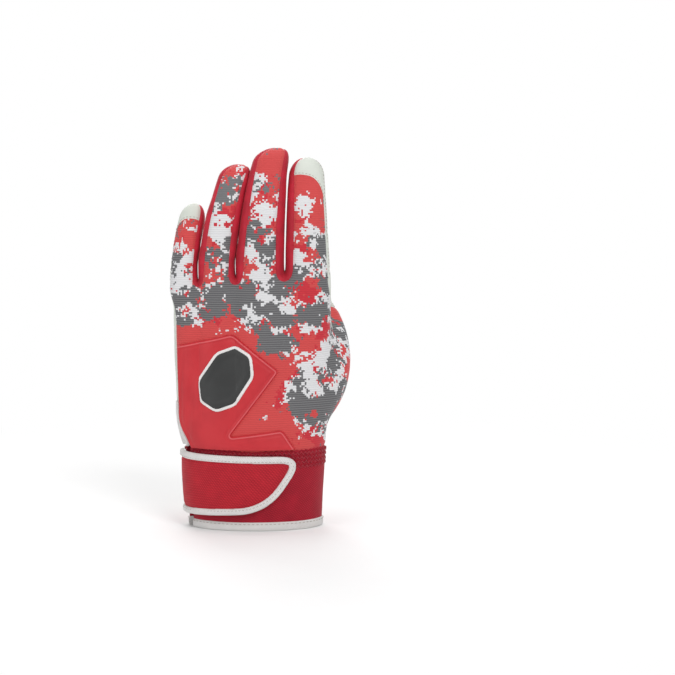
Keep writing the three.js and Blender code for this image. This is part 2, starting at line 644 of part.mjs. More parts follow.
// Crease and fold lines that the moving pieces turn about, in the glove's own frame
function fingerCrease(finger, t) {
  const frame = fingerFrame(finger, t);
  const point = frame.centre.clone().addScaledVector(frame.depth, frame.halfDepth + CREASE_CLEARANCE);
  return { point: point.add(glove.position), axis: frame.across.clone().negate() };
}
function thumbCrease(t, side) {
  const frame = thumbFrame(t);
  const reach = side * (frame.halfWidth + CREASE_CLEARANCE);
  const point = frame.centre.clone().addScaledVector(frame.across, reach);
  return { point: point.add(glove.position), axis: frame.depth.clone() };
}
const strapRoot = cuffPoint(strapBase, STRAP_ROOT_ANGLE, STRAP_LOW);
const tabFold = cuffPoint(tabRest + TAB_WALL, 180, TAB_FOLD);
export const hinges = {
  ...Object.fromEntries(
    FINGERS.flatMap((finger) => [
      [`${finger.name}_knuckle`, fingerCrease(finger, 0)],
      [`${finger.name}_bend`, fingerCrease(finger, MID_JOINT)],
    ]),
  ),
  thumb_swing: thumbCrease(0, 1),
  thumb_bend: thumbCrease(THUMB_MID_JOINT, -1),
  strap_open: {
    point: strapRoot.add(glove.position),
    axis: new THREE.Vector3(0, 0, -1),
  },
  tab_flip: {
    point: tabFold.add(glove.position),
    axis: new THREE.Vector3(1, 0, 0),
  },
};

export default glove;
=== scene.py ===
import math

import bpy
import numpy as np
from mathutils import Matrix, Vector
from mathutils.bvhtree import BVHTree


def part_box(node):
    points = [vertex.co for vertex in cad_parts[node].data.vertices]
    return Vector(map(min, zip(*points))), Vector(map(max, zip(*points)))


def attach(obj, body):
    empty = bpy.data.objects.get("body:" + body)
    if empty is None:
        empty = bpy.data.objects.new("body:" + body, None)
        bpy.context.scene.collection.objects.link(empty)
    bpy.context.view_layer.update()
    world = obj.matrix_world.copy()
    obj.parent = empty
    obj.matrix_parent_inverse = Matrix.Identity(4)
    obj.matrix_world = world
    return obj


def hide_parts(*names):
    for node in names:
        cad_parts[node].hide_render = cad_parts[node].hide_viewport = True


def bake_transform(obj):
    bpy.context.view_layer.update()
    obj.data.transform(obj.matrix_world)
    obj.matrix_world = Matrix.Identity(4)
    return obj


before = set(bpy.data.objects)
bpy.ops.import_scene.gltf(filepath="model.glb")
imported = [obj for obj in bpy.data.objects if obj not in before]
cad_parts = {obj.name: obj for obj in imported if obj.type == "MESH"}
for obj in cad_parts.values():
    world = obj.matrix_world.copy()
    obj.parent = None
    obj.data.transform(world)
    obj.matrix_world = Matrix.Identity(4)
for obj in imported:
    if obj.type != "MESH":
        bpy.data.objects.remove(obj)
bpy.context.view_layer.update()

# Sheet materials
WALL = 1.2
SEAM_DIP, SEAM_REACH = 0.5, 1.1  # how deep a sewn edge pulls in, and how far from the edge
STEP, LAYER_STEP, CUFF_STEP = 1.0, 0.7, 0.9  # grid spacing of the sewn panels, of layers and of the cuff
FOLD_STEP, BADGE_STEP = 0.6, 0.33  # and of the tab's fold and the badge
GAP = 0.3

# Stitches: spacing, length and radius
LEATHER_STITCH, HEM_STITCH = (2.1, 1.3, 0.19), (2.6, 1.7, 0.22)
STRAP_STITCH, TAB_STITCH = (2.2, 1.5, 0.2), (2.1, 1.5, 0.22)

# Wrist
CUFF_HALF_WIDTH, CUFF_HALF_DEPTH, CUFF_FLARE, CUFF_CENTRE_Y = 40, 23, 2.3, 2
CUFF_WALL, CUFF_TOP = 2.4, 49
CUFF_RADIUS = 33.0  # of a circle about as long as the cuff, for its weave
HEM_HEIGHT, HEM_PROUD = 5.5, 0.7
SLIT_WIDTH, SLIT_ANGLE, SLIT_TOP = 9, -74, 76
SLIT_TAPE_WIDTH, SLIT_TAPE_WALL = 4.4, 2.2
GATHER_PITCH, GATHER_DEPTH = 3.1, 0.22
ZIGZAG_HEIGHTS, ZIGZAG_PITCH, ZIGZAG_SWING = (38.5, 41.2, 43.9, 46.6), 2.6, 0.95

# Closure strap
STRAP_LOW, STRAP_TIP_LOW, STRAP_HIGH, STRAP_TIP_HIGH = 8.5, 11.5, 46.5, 45.5
STRAP_REACH, STRAP_SLANT, STRAP_CORNER = 30, 21.5, 18
STRAP_WALL, STRAP_ROOT_BASE, STRAP_BASE, BINDING = 2, 1.0, 2.5, 4
STRAP_ROOT_ANGLE, STRAP_FREE_ANGLE = -92, -70  # sewn down at the first, swinging freely from the second
STRAP_GRID_END = 48  # an angle past its tip
STRAP_BEYOND = 30  # how far its outline runs on past the root
STRAP_LIFT = 18  # distance from the root over which it lifts off the cuff
FASTENER_WALL, FASTENER_WIDTH, FASTENER_HEIGHT, FASTENER_ANGLE = 0.8, 32, 18, -24
TUFT_PITCH, TUFT_HEIGHT = 1.9, 0.12

# Pull tab
TAB_WIDTH, TAB_WALL, TAB_TOP, TAB_FOLD, TAB_FLOOR_CLEARANCE = 21.6, 1.6, 37, 14, 0.8

# Fingers
KNUCKLE_HEIGHT, KNUCKLE_TILT, MID_JOINT = 147, 4, 0.5
SQUARENESS, BACK_EDGE, INDEX_OUTER_EDGE, PINKY_OUTER_EDGE, PALM_EDGE = 2.4, 44, 62, 80, 120
CURL, CAP = 8, 12
CAP_ARC = 15  # length over the rounded tip
HAND_SLOPE, SLOPE_REACH = 0.0085, 18  # the slope of the hand goes on so far into the fingers
CROTCH_RADIUS = 6.5
CROTCH_RISE = [1.5, 3.0, 4.0]  # how much higher the crotch is on the palm, from the little finger on
CROTCH_ARCH = 3.5  # how much higher it arches in between
GUSSET_BULGE = [3.0, 2.8, 2.8]  # at most, from the gap beside the little finger on
GUSSET_GAP = [1.0, 0.5, 0.8]  # left between the gussets along the fingers
CROTCH_GAP = [0.45, 0.25, 0.7]  # left between them near the crotch
JUNCTION = 0.335  # share of a finger's length where its lower piece hands over to its upper one
KNUCKLE_BEND, MIDDLE_HALF_BEND = 0.21, 0.155  # shares of its length over which it bends at its joints
# Creases on the palm side of a finger: share of its length, depth and width
PALM_CREASES = [(0.07, 0.6, 1.3), (0.47, 0.6, 1.2), (0.53, 0.45, 1.0), (0.8, 0.4, 1.2)]
WRAP_DROP = {"pinky": 13, "index": 18}  # how far the leather of a wrapped tip comes down the outer side
WRAP_LEVEL = 0.2  # share of the back over which its seam is level
FINGERS = [
    {"name": name, "top": top, "y": y, "root": root, "tip": tip, "lean": lean}
    for name, top, y, root, tip, lean in (
        # name, height, Y at the root, X with width and depth at the root and at the tip, lean of the tip
        ("pinky", 194.5, 3.6, (-42.7, 16.6, 18), (-38.5, 15, 14.5), 1),
        ("ring", 218.5, 2.2, (-22.9, 21.4, 20.5), (-13.2, 18.2, 16.5), 3.5),
        ("middle", 228, 1.2, (3.1, 28.2, 22), (9.2, 21.2, 17.5), 4.5),
        ("index", 221.5, 1.5, (32.2, 26.6, 21.5), (31.2, 21, 17), 0),
    )
]

# Hand
HAND_START = CUFF_TOP + GAP
HAND_WAIST = 2.4  # how far the little-finger side draws in below the knuckle
WAIST_RISE, WAIST_FALL = 0.45, 0.14  # shares of the hand's height over which it does so
SIDE_SEAM_SHIFT = 4.0  # how far the seam beside the pad lies to the back, so that a strip of leather shows
SIDE_SEAM_FROM, SIDE_SEAM_TO = 62, 140  # heights between which it does so
VOXEL, FILLET, FILLET_ROUNDS = 1.1, 11, 90
PALM_WAVE, PALM_WAVE_LENGTH = 0.25, 26
INDEX_SEAM_Y, INDEX_SEAM_SWING = -4.2, 9.5  # the seam swings over the hand's edge to the palm
INDEX_SEAM_TOP, INDEX_SEAM_RUN = 149, 22
# Lines of X and Z, as a point and a normal: where the leather crosses the ball of the thumb, and where the
# knit wraps round at the wrist
PALM_LINE, WRIST_LINE = (31.2, 94.2, 0.906, 0.424), (43, 69, 0.801, -0.599)
PANEL_WIDTH, BACK_HEIGHT = 25, 98  # rough sizes of the back, which give the spacing of grids on it

# Thumb
THUMB_BASE, THUMB_END = np.array([34, 27.5, 132]), np.array([30.5, 37, 185])
THUMB_BASE_SIZE, THUMB_TIP_SIZE = np.array([24.5, 22]), np.array([20.5, 18.5])
THUMB_CAP, THUMB_MID_JOINT = 12, 0.45
THUMB_JUNCTION = 12  # distance from the base where the lower piece hands over to the upper one
THUMB_BASE_BEND, THUMB_HALF_BEND = 8, 6.5  # lengths over which the thumb bends
THUMB_TILT = 0.3  # slope of the seam round the thumb's base
SADDLE_START, SADDLE_BULGE = np.array([24, 3, 66]), np.array([56, 8, 93])
SADDLE_SIZE = np.array([34, 34])

# Pad and badge on the back, as X and Z
PAD_OUTLINE = [(-60, 106.5), (-44, 110.5), (-13, 117.5), (14.8, 95.5)]
PAD_OUTLINE += [(-14.6, 57), (16.8, 61), (26, 47), (-60, 47)]
PAD_HEIGHT, PAD_CORNER, PAD_SIDE_MARGIN = 1.5, 2.5, 2.0
BADGE_CENTRE, BADGE_LENGTH, BADGE_WIDTH, BADGE_TURN, BADGE_RIM = (-16.5, 91), 40, 27, -32, 1.6

# Print: X, Y and radius of the rolls that it turns round
THUMB_ROLL, SIDE_ROLL = (36, 9, 22), (-42, 5, 11)
# Where it turns plain red towards the fingertips: strength, height, X from and to
PLAIN_TIPS = [(0.1, 206, -90, 90), (0.14, 174, 19, 90), (0.07, 158, -90, -31)]
PLAIN_FADE = 12  # height over which it does so

# Camera
PHOTO_WIDTH, PHOTO_SCALE = 675, 0.6  # pixels, and millimetres a pixel at the glove
CAMERA_DISTANCE, CAMERA_RISE = 1.4, 7
CAMERA_AIM = np.array([49.5, 2, 113.7])

tab_low, tab_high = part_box("tab_loop")
tab_reach = CUFF_CENTRE_Y + CUFF_HALF_DEPTH + HEM_PROUD + GAP + TAB_WALL
tab_reach += CUFF_FLARE * (TAB_FOLD - GAP) / CUFF_TOP
SHIFT = np.array([(tab_low.x + tab_high.x) * 500, tab_high.y * 1000 - tab_reach, 0])


def place(points):
    return (np.asarray(points, float) + SHIFT) / 1000


# Small mathematics

X_AXIS = np.array([1.0, 0, 0])


def mix(a, b, t):
    return a + (b - a) * t


def smooth(t):
    t = np.clip(t, 0, 1)
    return t * t * (3 - 2 * t)


def unit(v):
    return v / np.maximum(np.linalg.norm(v, axis=-1, keepdims=True), 1e-9)


def bell(distance, reach):
    return np.exp(-((distance / reach) ** 2))


def arc_lengths(path):
    """Distances along a path of points."""
    return np.concatenate([[0], np.cumsum(np.linalg.norm(np.diff(path, axis=0), axis=1))])


def sampled(values, along, at):
    """Rows of values, kept at distances along a path, at other distances."""
    return np.stack([np.interp(at, along, column) for column in values.T], -1)


def ripple(points, wavelength, seed):
    """A smooth wavy field of about unit height over points in space."""
    draw = np.random.default_rng(seed)
    total = np.zeros(points.shape[:-1])
    for _ in range(6):
        direction = unit(draw.normal(size=3))
        length = wavelength * draw.uniform(0.7, 1.4)
        total += np.sin(points @ direction * 2 * math.pi / length + draw.uniform(0, 6.3))
    return total / 2.5


def section(degrees):
    """Across and depth of a squarish ring at angles from the back."""
    s, c = np.sin(np.radians(degrees)), np.cos(np.radians(degrees))
    power = 2 / SQUARENESS
    return np.sign(s) * np.abs(s) ** power, -np.sign(c) * np.abs(c) ** power


def polygon_distance(points, polygon):
    """Distance to a polygon's outline, positive inside it."""
    polygon = np.asarray(polygon, float)
    least = np.full(points.shape[:-1], 1e9)
    inside = np.zeros(points.shape[:-1], bool)
    for a, b in zip(polygon, np.roll(polygon, -1, axis=0)):
        edge = b - a
        share = np.clip(((points - a) @ edge) / (edge @ edge), 0, 1)
        least = np.minimum(least, np.linalg.norm(points - a - share[..., None] * edge, axis=-1))
        crosses = (a[1] > points[..., 1]) != (b[1] > points[..., 1])
        rise = np.where(crosses, points[..., 1] - a[1], 0) / (edge[1] if edge[1] else 1)
        inside ^= crosses & (points[..., 0] < a[0] + rise * edge[0])
    return np.where(inside, least, -least)


def rounded(polygon, radius, steps=5):
    """A polygon with its corners rounded."""
    polygon = np.asarray(polygon, float)
    out = []
    for before, corner, after in zip(np.roll(polygon, 1, axis=0), polygon, np.roll(polygon, -1, axis=0)):
        reach = min(radius, np.linalg.norm(before - corner) / 2.1, np.linalg.norm(after - corner) / 2.1)
        start, end = corner + unit(before - corner) * reach, corner + unit(after - corner) * reach
        for t in np.linspace(0, 1, steps):
            out.append(mix(mix(start, corner, t), mix(corner, end, t), t))
    return np.array(out)


PAD_SHAPE = rounded(PAD_OUTLINE, PAD_CORNER)


# Meshes: a part is points in millimetres, faces and the number of its material

def grid_faces(rows, columns, start=0):
    index = start + np.arange(rows * columns).reshape(rows, columns)
    quads = [index[:-1, :-1], index[:-1, 1:], index[1:, 1:], index[1:, :-1]]
    return np.stack(quads, -1).reshape(-1, 4)


def tube_faces(index):
    """Faces between rings of point numbers."""
    ahead = np.roll(index, -1, axis=1)
    return np.stack([index[:-1], ahead[:-1], ahead[1:], index[1:]], -1).reshape(-1, 4)


def outward(points, faces):
    """Turns the faces of a closed mesh round if it is inside out."""
    corner = points[faces]
    volume = 0
    for k in range(1, faces.shape[1] - 1):
        volume += np.einsum("ij,ij->", corner[:, 0], np.cross(corner[:, k], corner[:, k + 1]))
    return faces if volume > 0 else faces[:, ::-1]


def shell(outer, inner):
    """A closed sheet from an outer and an inner grid of points."""
    rows, columns = outer.shape[:2]
    count = rows * columns
    points = np.concatenate([outer.reshape(-1, 3), inner.reshape(-1, 3)])
    index = np.arange(count).reshape(rows, columns)
    loop = np.concatenate([index[0, :-1], index[:-1, -1], index[-1, :0:-1], index[:0:-1, 0]])
    ahead = np.roll(loop, -1)
    rim = np.stack([ahead, loop, loop + count, ahead + count], -1)
    faces = np.concatenate([grid_faces(rows, columns), grid_faces(rows, columns, count)[:, ::-1], rim])
    return points, outward(points, faces), 0


def loft(rings, material=0):
    """A closed tube from rings of points."""
    rows, columns = rings.shape[:2]
    index = np.arange(rows * columns).reshape(rows, columns)
    sides = tube_faces(index)
    first, last = (np.full(columns, rows * columns + k) for k in range(2))
    caps = [np.stack([np.roll(index[0], -1), index[0], first], -1),
            np.stack([index[-1], np.roll(index[-1], -1), last], -1)]
    points = np.concatenate([rings.reshape(-1, 3), rings[[0, -1]].mean(1)])
    triangles = np.concatenate([sides[:, [0, 1, 2]], sides[:, [0, 2, 3]], *caps])
    return points, outward(points, triangles), material


def swept(path, normals, across, thick, profile=10):
    """A flattened rounded tape swept along a path, as rings of points."""
    tangent = unit(np.gradient(path, axis=0))
    side = unit(np.cross(tangent, normals))
    turn = 2 * math.pi * np.arange(profile) / profile
    x = np.sign(np.cos(turn)) * np.abs(np.cos(turn)) ** 0.7 * across / 2
    y = np.sign(np.sin(turn)) * np.abs(np.sin(turn)) ** 0.7 * thick / 2
    return path[:, None] + side[:, None] * x[None, :, None] + unit(normals)[:, None] * y[None, :, None]


def grid_normals(grid, away_from):
    """Normals of a grid of points, pointing away from a point or line of points."""
    normals = unit(np.cross(np.gradient(grid, axis=1), np.gradient(grid, axis=0)))
    return normals if np.mean(np.sum(normals * (grid - away_from), -1)) > 0 else -normals


def mesh_normals(points, faces):
    a, b, c = (points[faces[:, k]] for k in range(3))
    face = np.cross(b - a, c - a)
    normals = np.zeros_like(points)
    for k in range(3):
        np.add.at(normals, faces[:, k], face)
    return unit(normals)


def triangle_edges(faces):
    return np.concatenate([faces[:, [0, 1]], faces[:, [1, 2]], faces[:, [2, 0]]])


def closed(top, bottom, faces):
    """A closed sheet from two layers of points that share triangles."""
    used, faces = np.unique(faces, return_inverse=True)
    faces = faces.reshape(-1, 3)
    count = len(used)
    edges = triangle_edges(faces)
    keys = set(map(tuple, edges))
    rim = np.array([e for e in edges if (e[1], e[0]) not in keys]).reshape(-1, 2)
    a, b = rim[:, 0], rim[:, 1]
    walls = np.concatenate([np.stack([b, a, a + count], -1), np.stack([b, a + count, b + count], -1)])
    points = np.concatenate([top[used], bottom[used]])
    return points, outward(points, np.concatenate([faces, faces[:, ::-1] + count, walls])), 0


def cut(table, faces, column):
    """Cuts triangles along the zero line of a column: the longer table, the faces above and those below."""
    value = table[:, column].copy()
    value[np.abs(value) < 0.06] = 0  # no slivers beside the line
    table = table.copy()
    table[:, column] = value
    signs = np.sign(value[faces])
    above = (signs >= 0).all(1) & (signs > 0).any(1)
    below = (signs <= 0).all(1)
    rows, ups, downs, made = [], [], [], {}

    def crossing(a, b):
        key = (min(a, b), max(a, b))
        if key not in made:
            share = value[a] / (value[a] - value[b])
            made[key] = len(table) + len(rows)
            rows.append(mix(table[a], table[b], share))
            rows[-1][column] = 0
        return made[key]

    for face in faces[~above & ~below]:
        for side, out in ((1, ups), (-1, downs)):
            loop = []
            for a, b in zip(face, np.roll(face, -1)):
                if value[a] * side >= 0:
                    loop.append(a)
                if value[a] * value[b] < 0:
                    loop.append(crossing(a, b))
            out += [(loop[0], loop[k], loop[k + 1]) for k in range(1, len(loop) - 1)]
    table = np.concatenate([table, np.array(rows).reshape(-1, table.shape[1])])
    ups, downs = (np.array(new, int).reshape(-1, 3) for new in (ups, downs))
    return table, np.concatenate([faces[above], ups]), np.concatenate([faces[below], downs])


def stitches(path, normals, spacing, length, radius):
    """A row of thread stitches that follow a path on a surface, in a piece's second material."""
    along = arc_lengths(path)
    starts = np.arange(spacing / 2, along[-1] - length, spacing)
    lengths, sides = 5, 6
    points, faces = [np.zeros((0, 3))], [np.zeros((0, 4), int)]
    turn = 2 * math.pi * np.arange(sides) / sides
    thick = radius * np.sqrt(np.clip(1 - np.linspace(-0.97, 0.97, lengths) ** 2, 0.02, 1))
    for number, start in enumerate(starts):
        at = start + length * np.linspace(0, 1, lengths)
        centre, normal = sampled(path, along, at), unit(sampled(normals, along, at))
        side = np.cross(unit(np.gradient(centre, axis=0)), normal)
        ring = np.cos(turn)[:, None] * normal[:, None] + np.sin(turn)[:, None] * side[:, None]
        centre = centre + 0.4 * radius * normal
        points.append((centre[:, None] + ring * thick[:, None, None]).reshape(-1, 3))
        index = number * lengths * sides + np.arange(lengths * sides).reshape(lengths, sides)
        faces.append(tube_faces(index))
        for end in (index[0, ::-1], index[-1]):
            faces.append(np.array([[end[0], end[k], end[k + 1], end[k + 2]] for k in (1, 3)]))
    return np.concatenate(points), np.concatenate(faces)[:, ::-1], 1


def joined(parts):
    """The points of several parts, and their faces as lists."""
    starts = np.cumsum([0] + [len(points) for points, _, _ in parts])
    faces = [face for (_, own, _), start in zip(parts, starts) for face in (own + start).tolist()]
    return np.concatenate([points for points, _, _ in parts]), faces


def printed(points):
    """Where the print lies flat: as it is across the back, and rolled round the two sides."""
    x, y, z = points.T
    thumb_turn = np.mod(np.arctan2(x - THUMB_ROLL[0], THUMB_ROLL[1] - y), 2 * math.pi)
    side_turn = np.mod(np.arctan2(SIDE_ROLL[0] - x, SIDE_ROLL[1] - y), 2 * math.pi)
    rolled = (x > THUMB_ROLL[0]) | (y > THUMB_ROLL[1])
    across = np.where(rolled, THUMB_ROLL[0] + THUMB_ROLL[2] * thumb_turn, x)
    across = np.where(x < SIDE_ROLL[0], SIDE_ROLL[0] - SIDE_ROLL[2] * side_turn, across)
    return np.stack([across, np.zeros_like(x), z], -1)


def plain(points, pad_edge):
    """How plain red the print is: on the fingertips, round the pad and below the thumb's seam."""
    x, y, z = points.T
    beside_pad = 0.13 * smooth((pad_edge + 13) / 9) + 0.3 * smooth((pad_edge + 2) / 3)
    below_thumb = np.where(y > 12, 0.3 * smooth((above_thumb_seam(points) + 9) / 3), 0)
    most = np.maximum(beside_pad, below_thumb)
    for strength, height, low, high in PLAIN_TIPS:
        here = smooth((z - height) / PLAIN_FADE) * smooth((x - low) / 2) * smooth((high - x) / 2)
        most = np.maximum(most, strength * here)
    return most


def make(name, parts, materials):
    """A smooth mesh object from parts, with attributes for the patterns, such as its points at rest."""
    points, faces = joined(parts)
    mesh = bpy.data.meshes.new(name)
    mesh.from_pydata(place(points).tolist(), [], faces)
    for material in materials:
        mesh.materials.append(material)
    numbers = np.concatenate([np.full(len(own), number) for _, own, number in parts])
    mesh.polygons.foreach_set("material_index", numbers.astype(np.int32))
    mesh.polygons.foreach_set("use_smooth", np.ones(len(faces), bool))
    for key, vectors in (("rest", points), ("print", printed(points))):
        attribute = mesh.attributes.new(key, "FLOAT_VECTOR", "POINT")
        attribute.data.foreach_set("vector", vectors.astype(np.float32).ravel())
    pad_edge = polygon_distance(points[:, [0, 2]], PAD_SHAPE)
    for key, values in (("pad_edge", pad_edge), ("plain", plain(points, pad_edge))):
        attribute = mesh.attributes.new(key, "FLOAT", "POINT")
        attribute.data.foreach_set("value", values.astype(np.float32))
    mesh.update()
    mesh.set_sharp_from_angle(angle=math.radians(50))
    obj = bpy.data.objects.new(name, mesh)
    bpy.context.scene.collection.objects.link(obj)
    return obj


def piece(name, parts, materials, slot, body="hand", bent_to=None, bend=(), nodes=None):
    """A piece that stands for CAD nodes, by default the one of its name. It rides on a body, unless it is
    given another body to bend to: then it stays where it is made, on no body, and does not bend. The two
    points of the bend are not used."""
    obj = make(f"{name}_cover", parts, materials)
    if bent_to:
        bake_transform(obj)
    else:
        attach(obj, body)
    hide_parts(*(nodes or [name]))
    return obj


# Finger surfaces

KNUCKLE_DIRECTION = np.array([math.cos(math.radians(KNUCKLE_TILT)), 0, math.sin(math.radians(KNUCKLE_TILT))])
EDGES = {"back": (BACK_EDGE, -BACK_EDGE), "palm": (PALM_EDGE, 360 - PALM_EDGE)}
# Finger and angles of each panel that meets the hand, over the back and then over the palm
COLUMNS = [
    (0, -90, BACK_EDGE), (1, -BACK_EDGE, BACK_EDGE), (2, -BACK_EDGE, BACK_EDGE), (3, -BACK_EDGE, 90),
    (3, 90, 360 - PALM_EDGE), (2, PALM_EDGE, 360 - PALM_EDGE),
    (1, PALM_EDGE, 360 - PALM_EDGE), (0, PALM_EDGE, 270),
]


def knuckle_z(x):
    return KNUCKLE_HEIGHT + x * math.tan(math.radians(KNUCKLE_TILT))


def finger_length(finger):
    return finger["top"] - CAP - knuckle_z(finger["root"][0])


def finger_frame(finger, t):
    """Centre, directions and half sizes of a finger at shares of its length."""
    (root_x, root_width, root_depth), (tip_x, tip_width, tip_depth) = finger["root"], finger["tip"]
    t = np.asarray(t, float)
    length = finger_length(finger)
    y = finger["y"] + CURL * t * t
    centre = np.stack([mix(root_x, tip_x, t * t), y, knuckle_z(root_x) + length * t], -1)
    along = unit(np.stack([(tip_x - root_x) * 2 * t, CURL * 2 * t, np.full_like(t, length)], -1))
    level = np.maximum(0, 1 - t / MID_JOINT)[..., None] ** 2
    across = unit(X_AXIS - along * along[..., :1])
    across = unit(mix(across, KNUCKLE_DIRECTION, level))
    depth = unit(mix(unit(np.cross(along, across)), np.array([0, 1.0, 0]), level))
    half_width, half_depth = mix(root_width, tip_width, t**0.8) / 2, mix(root_depth, tip_depth, t) / 2
    return centre, along, across, depth, half_width, half_depth


def cap_angle(reach, length):
    """How far over the rounded tip a distance lies, just short of its top."""
    return np.clip((reach - length) / CAP_ARC, 0, 0.995) * math.pi / 2


def finger_points(number, reach, degrees):
    """Points of a finger at distances from its root, over its rounded tip too, and angles from its back."""
    finger = FINGERS[number]
    length = finger_length(finger)
    reach, degrees = np.broadcast_arrays(np.asarray(reach, float), np.asarray(degrees, float))
    centre, along, across, depth, half_width, half_depth = finger_frame(finger, np.clip(reach / length, 0, 1))
    cap = cap_angle(reach, length)
    x, y = section(degrees)
    shrink = np.cos(cap)
    return (
        centre
        + along * (np.sin(cap) * CAP)[..., None]
        + across * (x * shrink * half_width + finger["lean"] * np.sin(cap) ** 2)[..., None]
        + depth * (y * shrink * half_depth)[..., None]
    )


def crotch_height(first, s):
    """Height of the crotch beside a finger, from the back at 0 to the palm at 1."""
    return CROTCH_RISE[first] * s + CROTCH_ARCH * np.sin(math.pi * np.clip(s, 0, 1))


def valley(number, reach, part):
    """Where a finger meets its thumb-side neighbour, over the back or over the palm."""
    mine, other = EDGES[part]
    return (finger_points(number, reach, mine) + finger_points(number + 1, reach, other)) / 2


def crotch(height):
    """How far the edges of neighbouring fingers have closed, at a height above the crotch: a round U."""
    open_share = np.clip(height / CROTCH_RADIUS, 0, 1)
    return 1 - np.sqrt(np.maximum(0, 1 - (1 - open_share) ** 2))


def bulge(first, reach, thumbside):
    """How far a gusset swells into the gap between a finger and the next. Near the crotch it is up to the
    middle plane of the two roots, so that a bent finger passes its neighbour, and further on to the gap's
    middle."""
    lengths = [finger_length(FINGERS[k]) for k in (first, first + 1)]

    def edges(reach):
        low, high = (np.minimum(reach, length - 3) for length in lengths)
        return finger_points(first, low, 90)[..., 0], finger_points(first + 1, high, -90)[..., 0]

    left, right = edges(reach)
    middle = mix(sum(edges(0)) / 2, (left + right) / 2, smooth((reach - 12) / 12))
    kept = mix(CROTCH_GAP[first], GUSSET_GAP[first], smooth((reach - 16) / 12))
    room = np.clip((middle - left if thumbside else right - middle) - kept / 2, 0, GUSSET_BULGE[first])
    open_share = smooth((reach - CROTCH_RISE[first] / 2) / 3)
    return room * open_share * smooth((min(lengths) + 12 - reach) / 20)


def gusset_share(degrees):
    """Place across a gusset, from the back at 0 to the palm at 1."""
    return (np.abs(degrees) - BACK_EDGE) / (PALM_EDGE - BACK_EDGE)


def pulled(number, reach, degrees, part):
    """Points of a finger's panel, drawn together with its neighbours at the crotch."""
    points = finger_points(number, reach, degrees)
    if part in EDGES:
        thumbside, outside = EDGES[part]
        _, low, high = COLUMNS[number if part == "back" else -1 - number]
        s = np.clip((degrees - low) / (high - low), 0, 1)
        for side, first in ((True, number), (False, number - 1)):
            if not 0 <= first < len(FINGERS) - 1:
                continue
            edge = finger_points(number, reach, thumbside if side else outside)
            weight = (s if side == (part == "back") else 1 - s) ** 4
            height = reach - (CROTCH_RISE[first] if part == "palm" else 0)
            points = points + (crotch(height) * weight)[..., None] * (valley(first, reach, part) - edge)
    else:
        side = part == "thumbside"
        first = number if side else number - 1
        s = gusset_share(degrees)
        swell = bulge(first, reach, side) * np.sin(math.pi * np.clip(s, 0, 1)) ** 0.8
        points = points + swell[..., None] * (X_AXIS if side else -X_AXIS)
        web = mix(valley(first, reach, "back"), valley(first, reach, "palm"), s[..., None])
        points = points + crotch(reach - crotch_height(first, s))[..., None] * (web - points)
    flow = reach * np.maximum(0, 1 - reach / SLOPE_REACH) ** 2
    points[..., 1] -= HAND_SLOPE * (points[..., 1] - CUFF_CENTRE_Y) * flow
    return points


# Hand surface

def knuckle_points(v):
    """Points round the top of the hand, where v counts the panels from the little-finger side of the back."""
    points = np.zeros((*np.shape(v), 3))
    loop = np.mod(v, len(COLUMNS))
    for number, (finger, low, high) in enumerate(COLUMNS):
        here = np.floor(loop) == number
        degrees = mix(low, high, loop[here] - number)
        points[here] = pulled(finger, np.zeros(degrees.shape), degrees, "back" if number < 4 else "palm")
    return points


HAND_LOW, HAND_HIGH = knuckle_points(np.array([0.0, 4.0]))[:, 0]


def hand_points(v, u):
    """Points of the hand between the cuff at u = 0 and the knuckles at u = 1."""
    v, u = np.broadcast_arrays(np.asarray(v, float), np.asarray(u, float))
    knuckle = knuckle_points(v)
    q = np.clip(2 * (knuckle[..., 0] - HAND_LOW) / (HAND_HIGH - HAND_LOW) - 1, -1, 1)
    side = np.where(np.mod(v, len(COLUMNS)) < 4, -1, 1)
    wrist_x = (CUFF_HALF_WIDTH + CUFF_FLARE) * q
    wrist_y = CUFF_CENTRE_Y + side * (CUFF_HALF_DEPTH + CUFF_FLARE) * np.sqrt(1 - q * q)
    widen = 1 - np.maximum(0, 1 - u) ** 4
    waist = HAND_WAIST * np.minimum(q, 0) ** 2 * smooth(u / WAIST_RISE) * smooth((1 - u) / WAIST_FALL)
    x = mix(wrist_x, knuckle[..., 0], widen) + waist
    return np.stack([x, mix(wrist_y, knuckle[..., 1], u), mix(HAND_START, knuckle[..., 2], u)], -1)


# Thumb and its saddle

THUMB_ALONG = unit(THUMB_END - THUMB_BASE)
THUMB_ACROSS = unit(X_AXIS - THUMB_ALONG * THUMB_ALONG[0])
THUMB_LENGTH = np.linalg.norm(THUMB_END - THUMB_BASE) - THUMB_CAP


def tube_points(centre, along, size, degrees, shrink=1):
    across = unit(X_AXIS - along * along[..., :1])
    depth = unit(np.cross(along, across))
    x, y = section(degrees)
    x, y = x * shrink * size[..., 0] / 2, y * shrink * size[..., 1] / 2
    return centre + across * x[..., None] + depth * y[..., None]


def saddle_points(t, degrees):
    t = np.asarray(t, float)[..., None]
    centre = (1 - t) ** 2 * SADDLE_START + 2 * t * (1 - t) * SADDLE_BULGE + t * t * THUMB_BASE
    tangent = unit(2 * (1 - t) * (SADDLE_BULGE - SADDLE_START) + 2 * t * (THUMB_BASE - SADDLE_BULGE))
    along = unit(mix(tangent, THUMB_ALONG, t * t))
    return tube_points(centre, along, mix(SADDLE_SIZE, THUMB_BASE_SIZE, t), degrees)


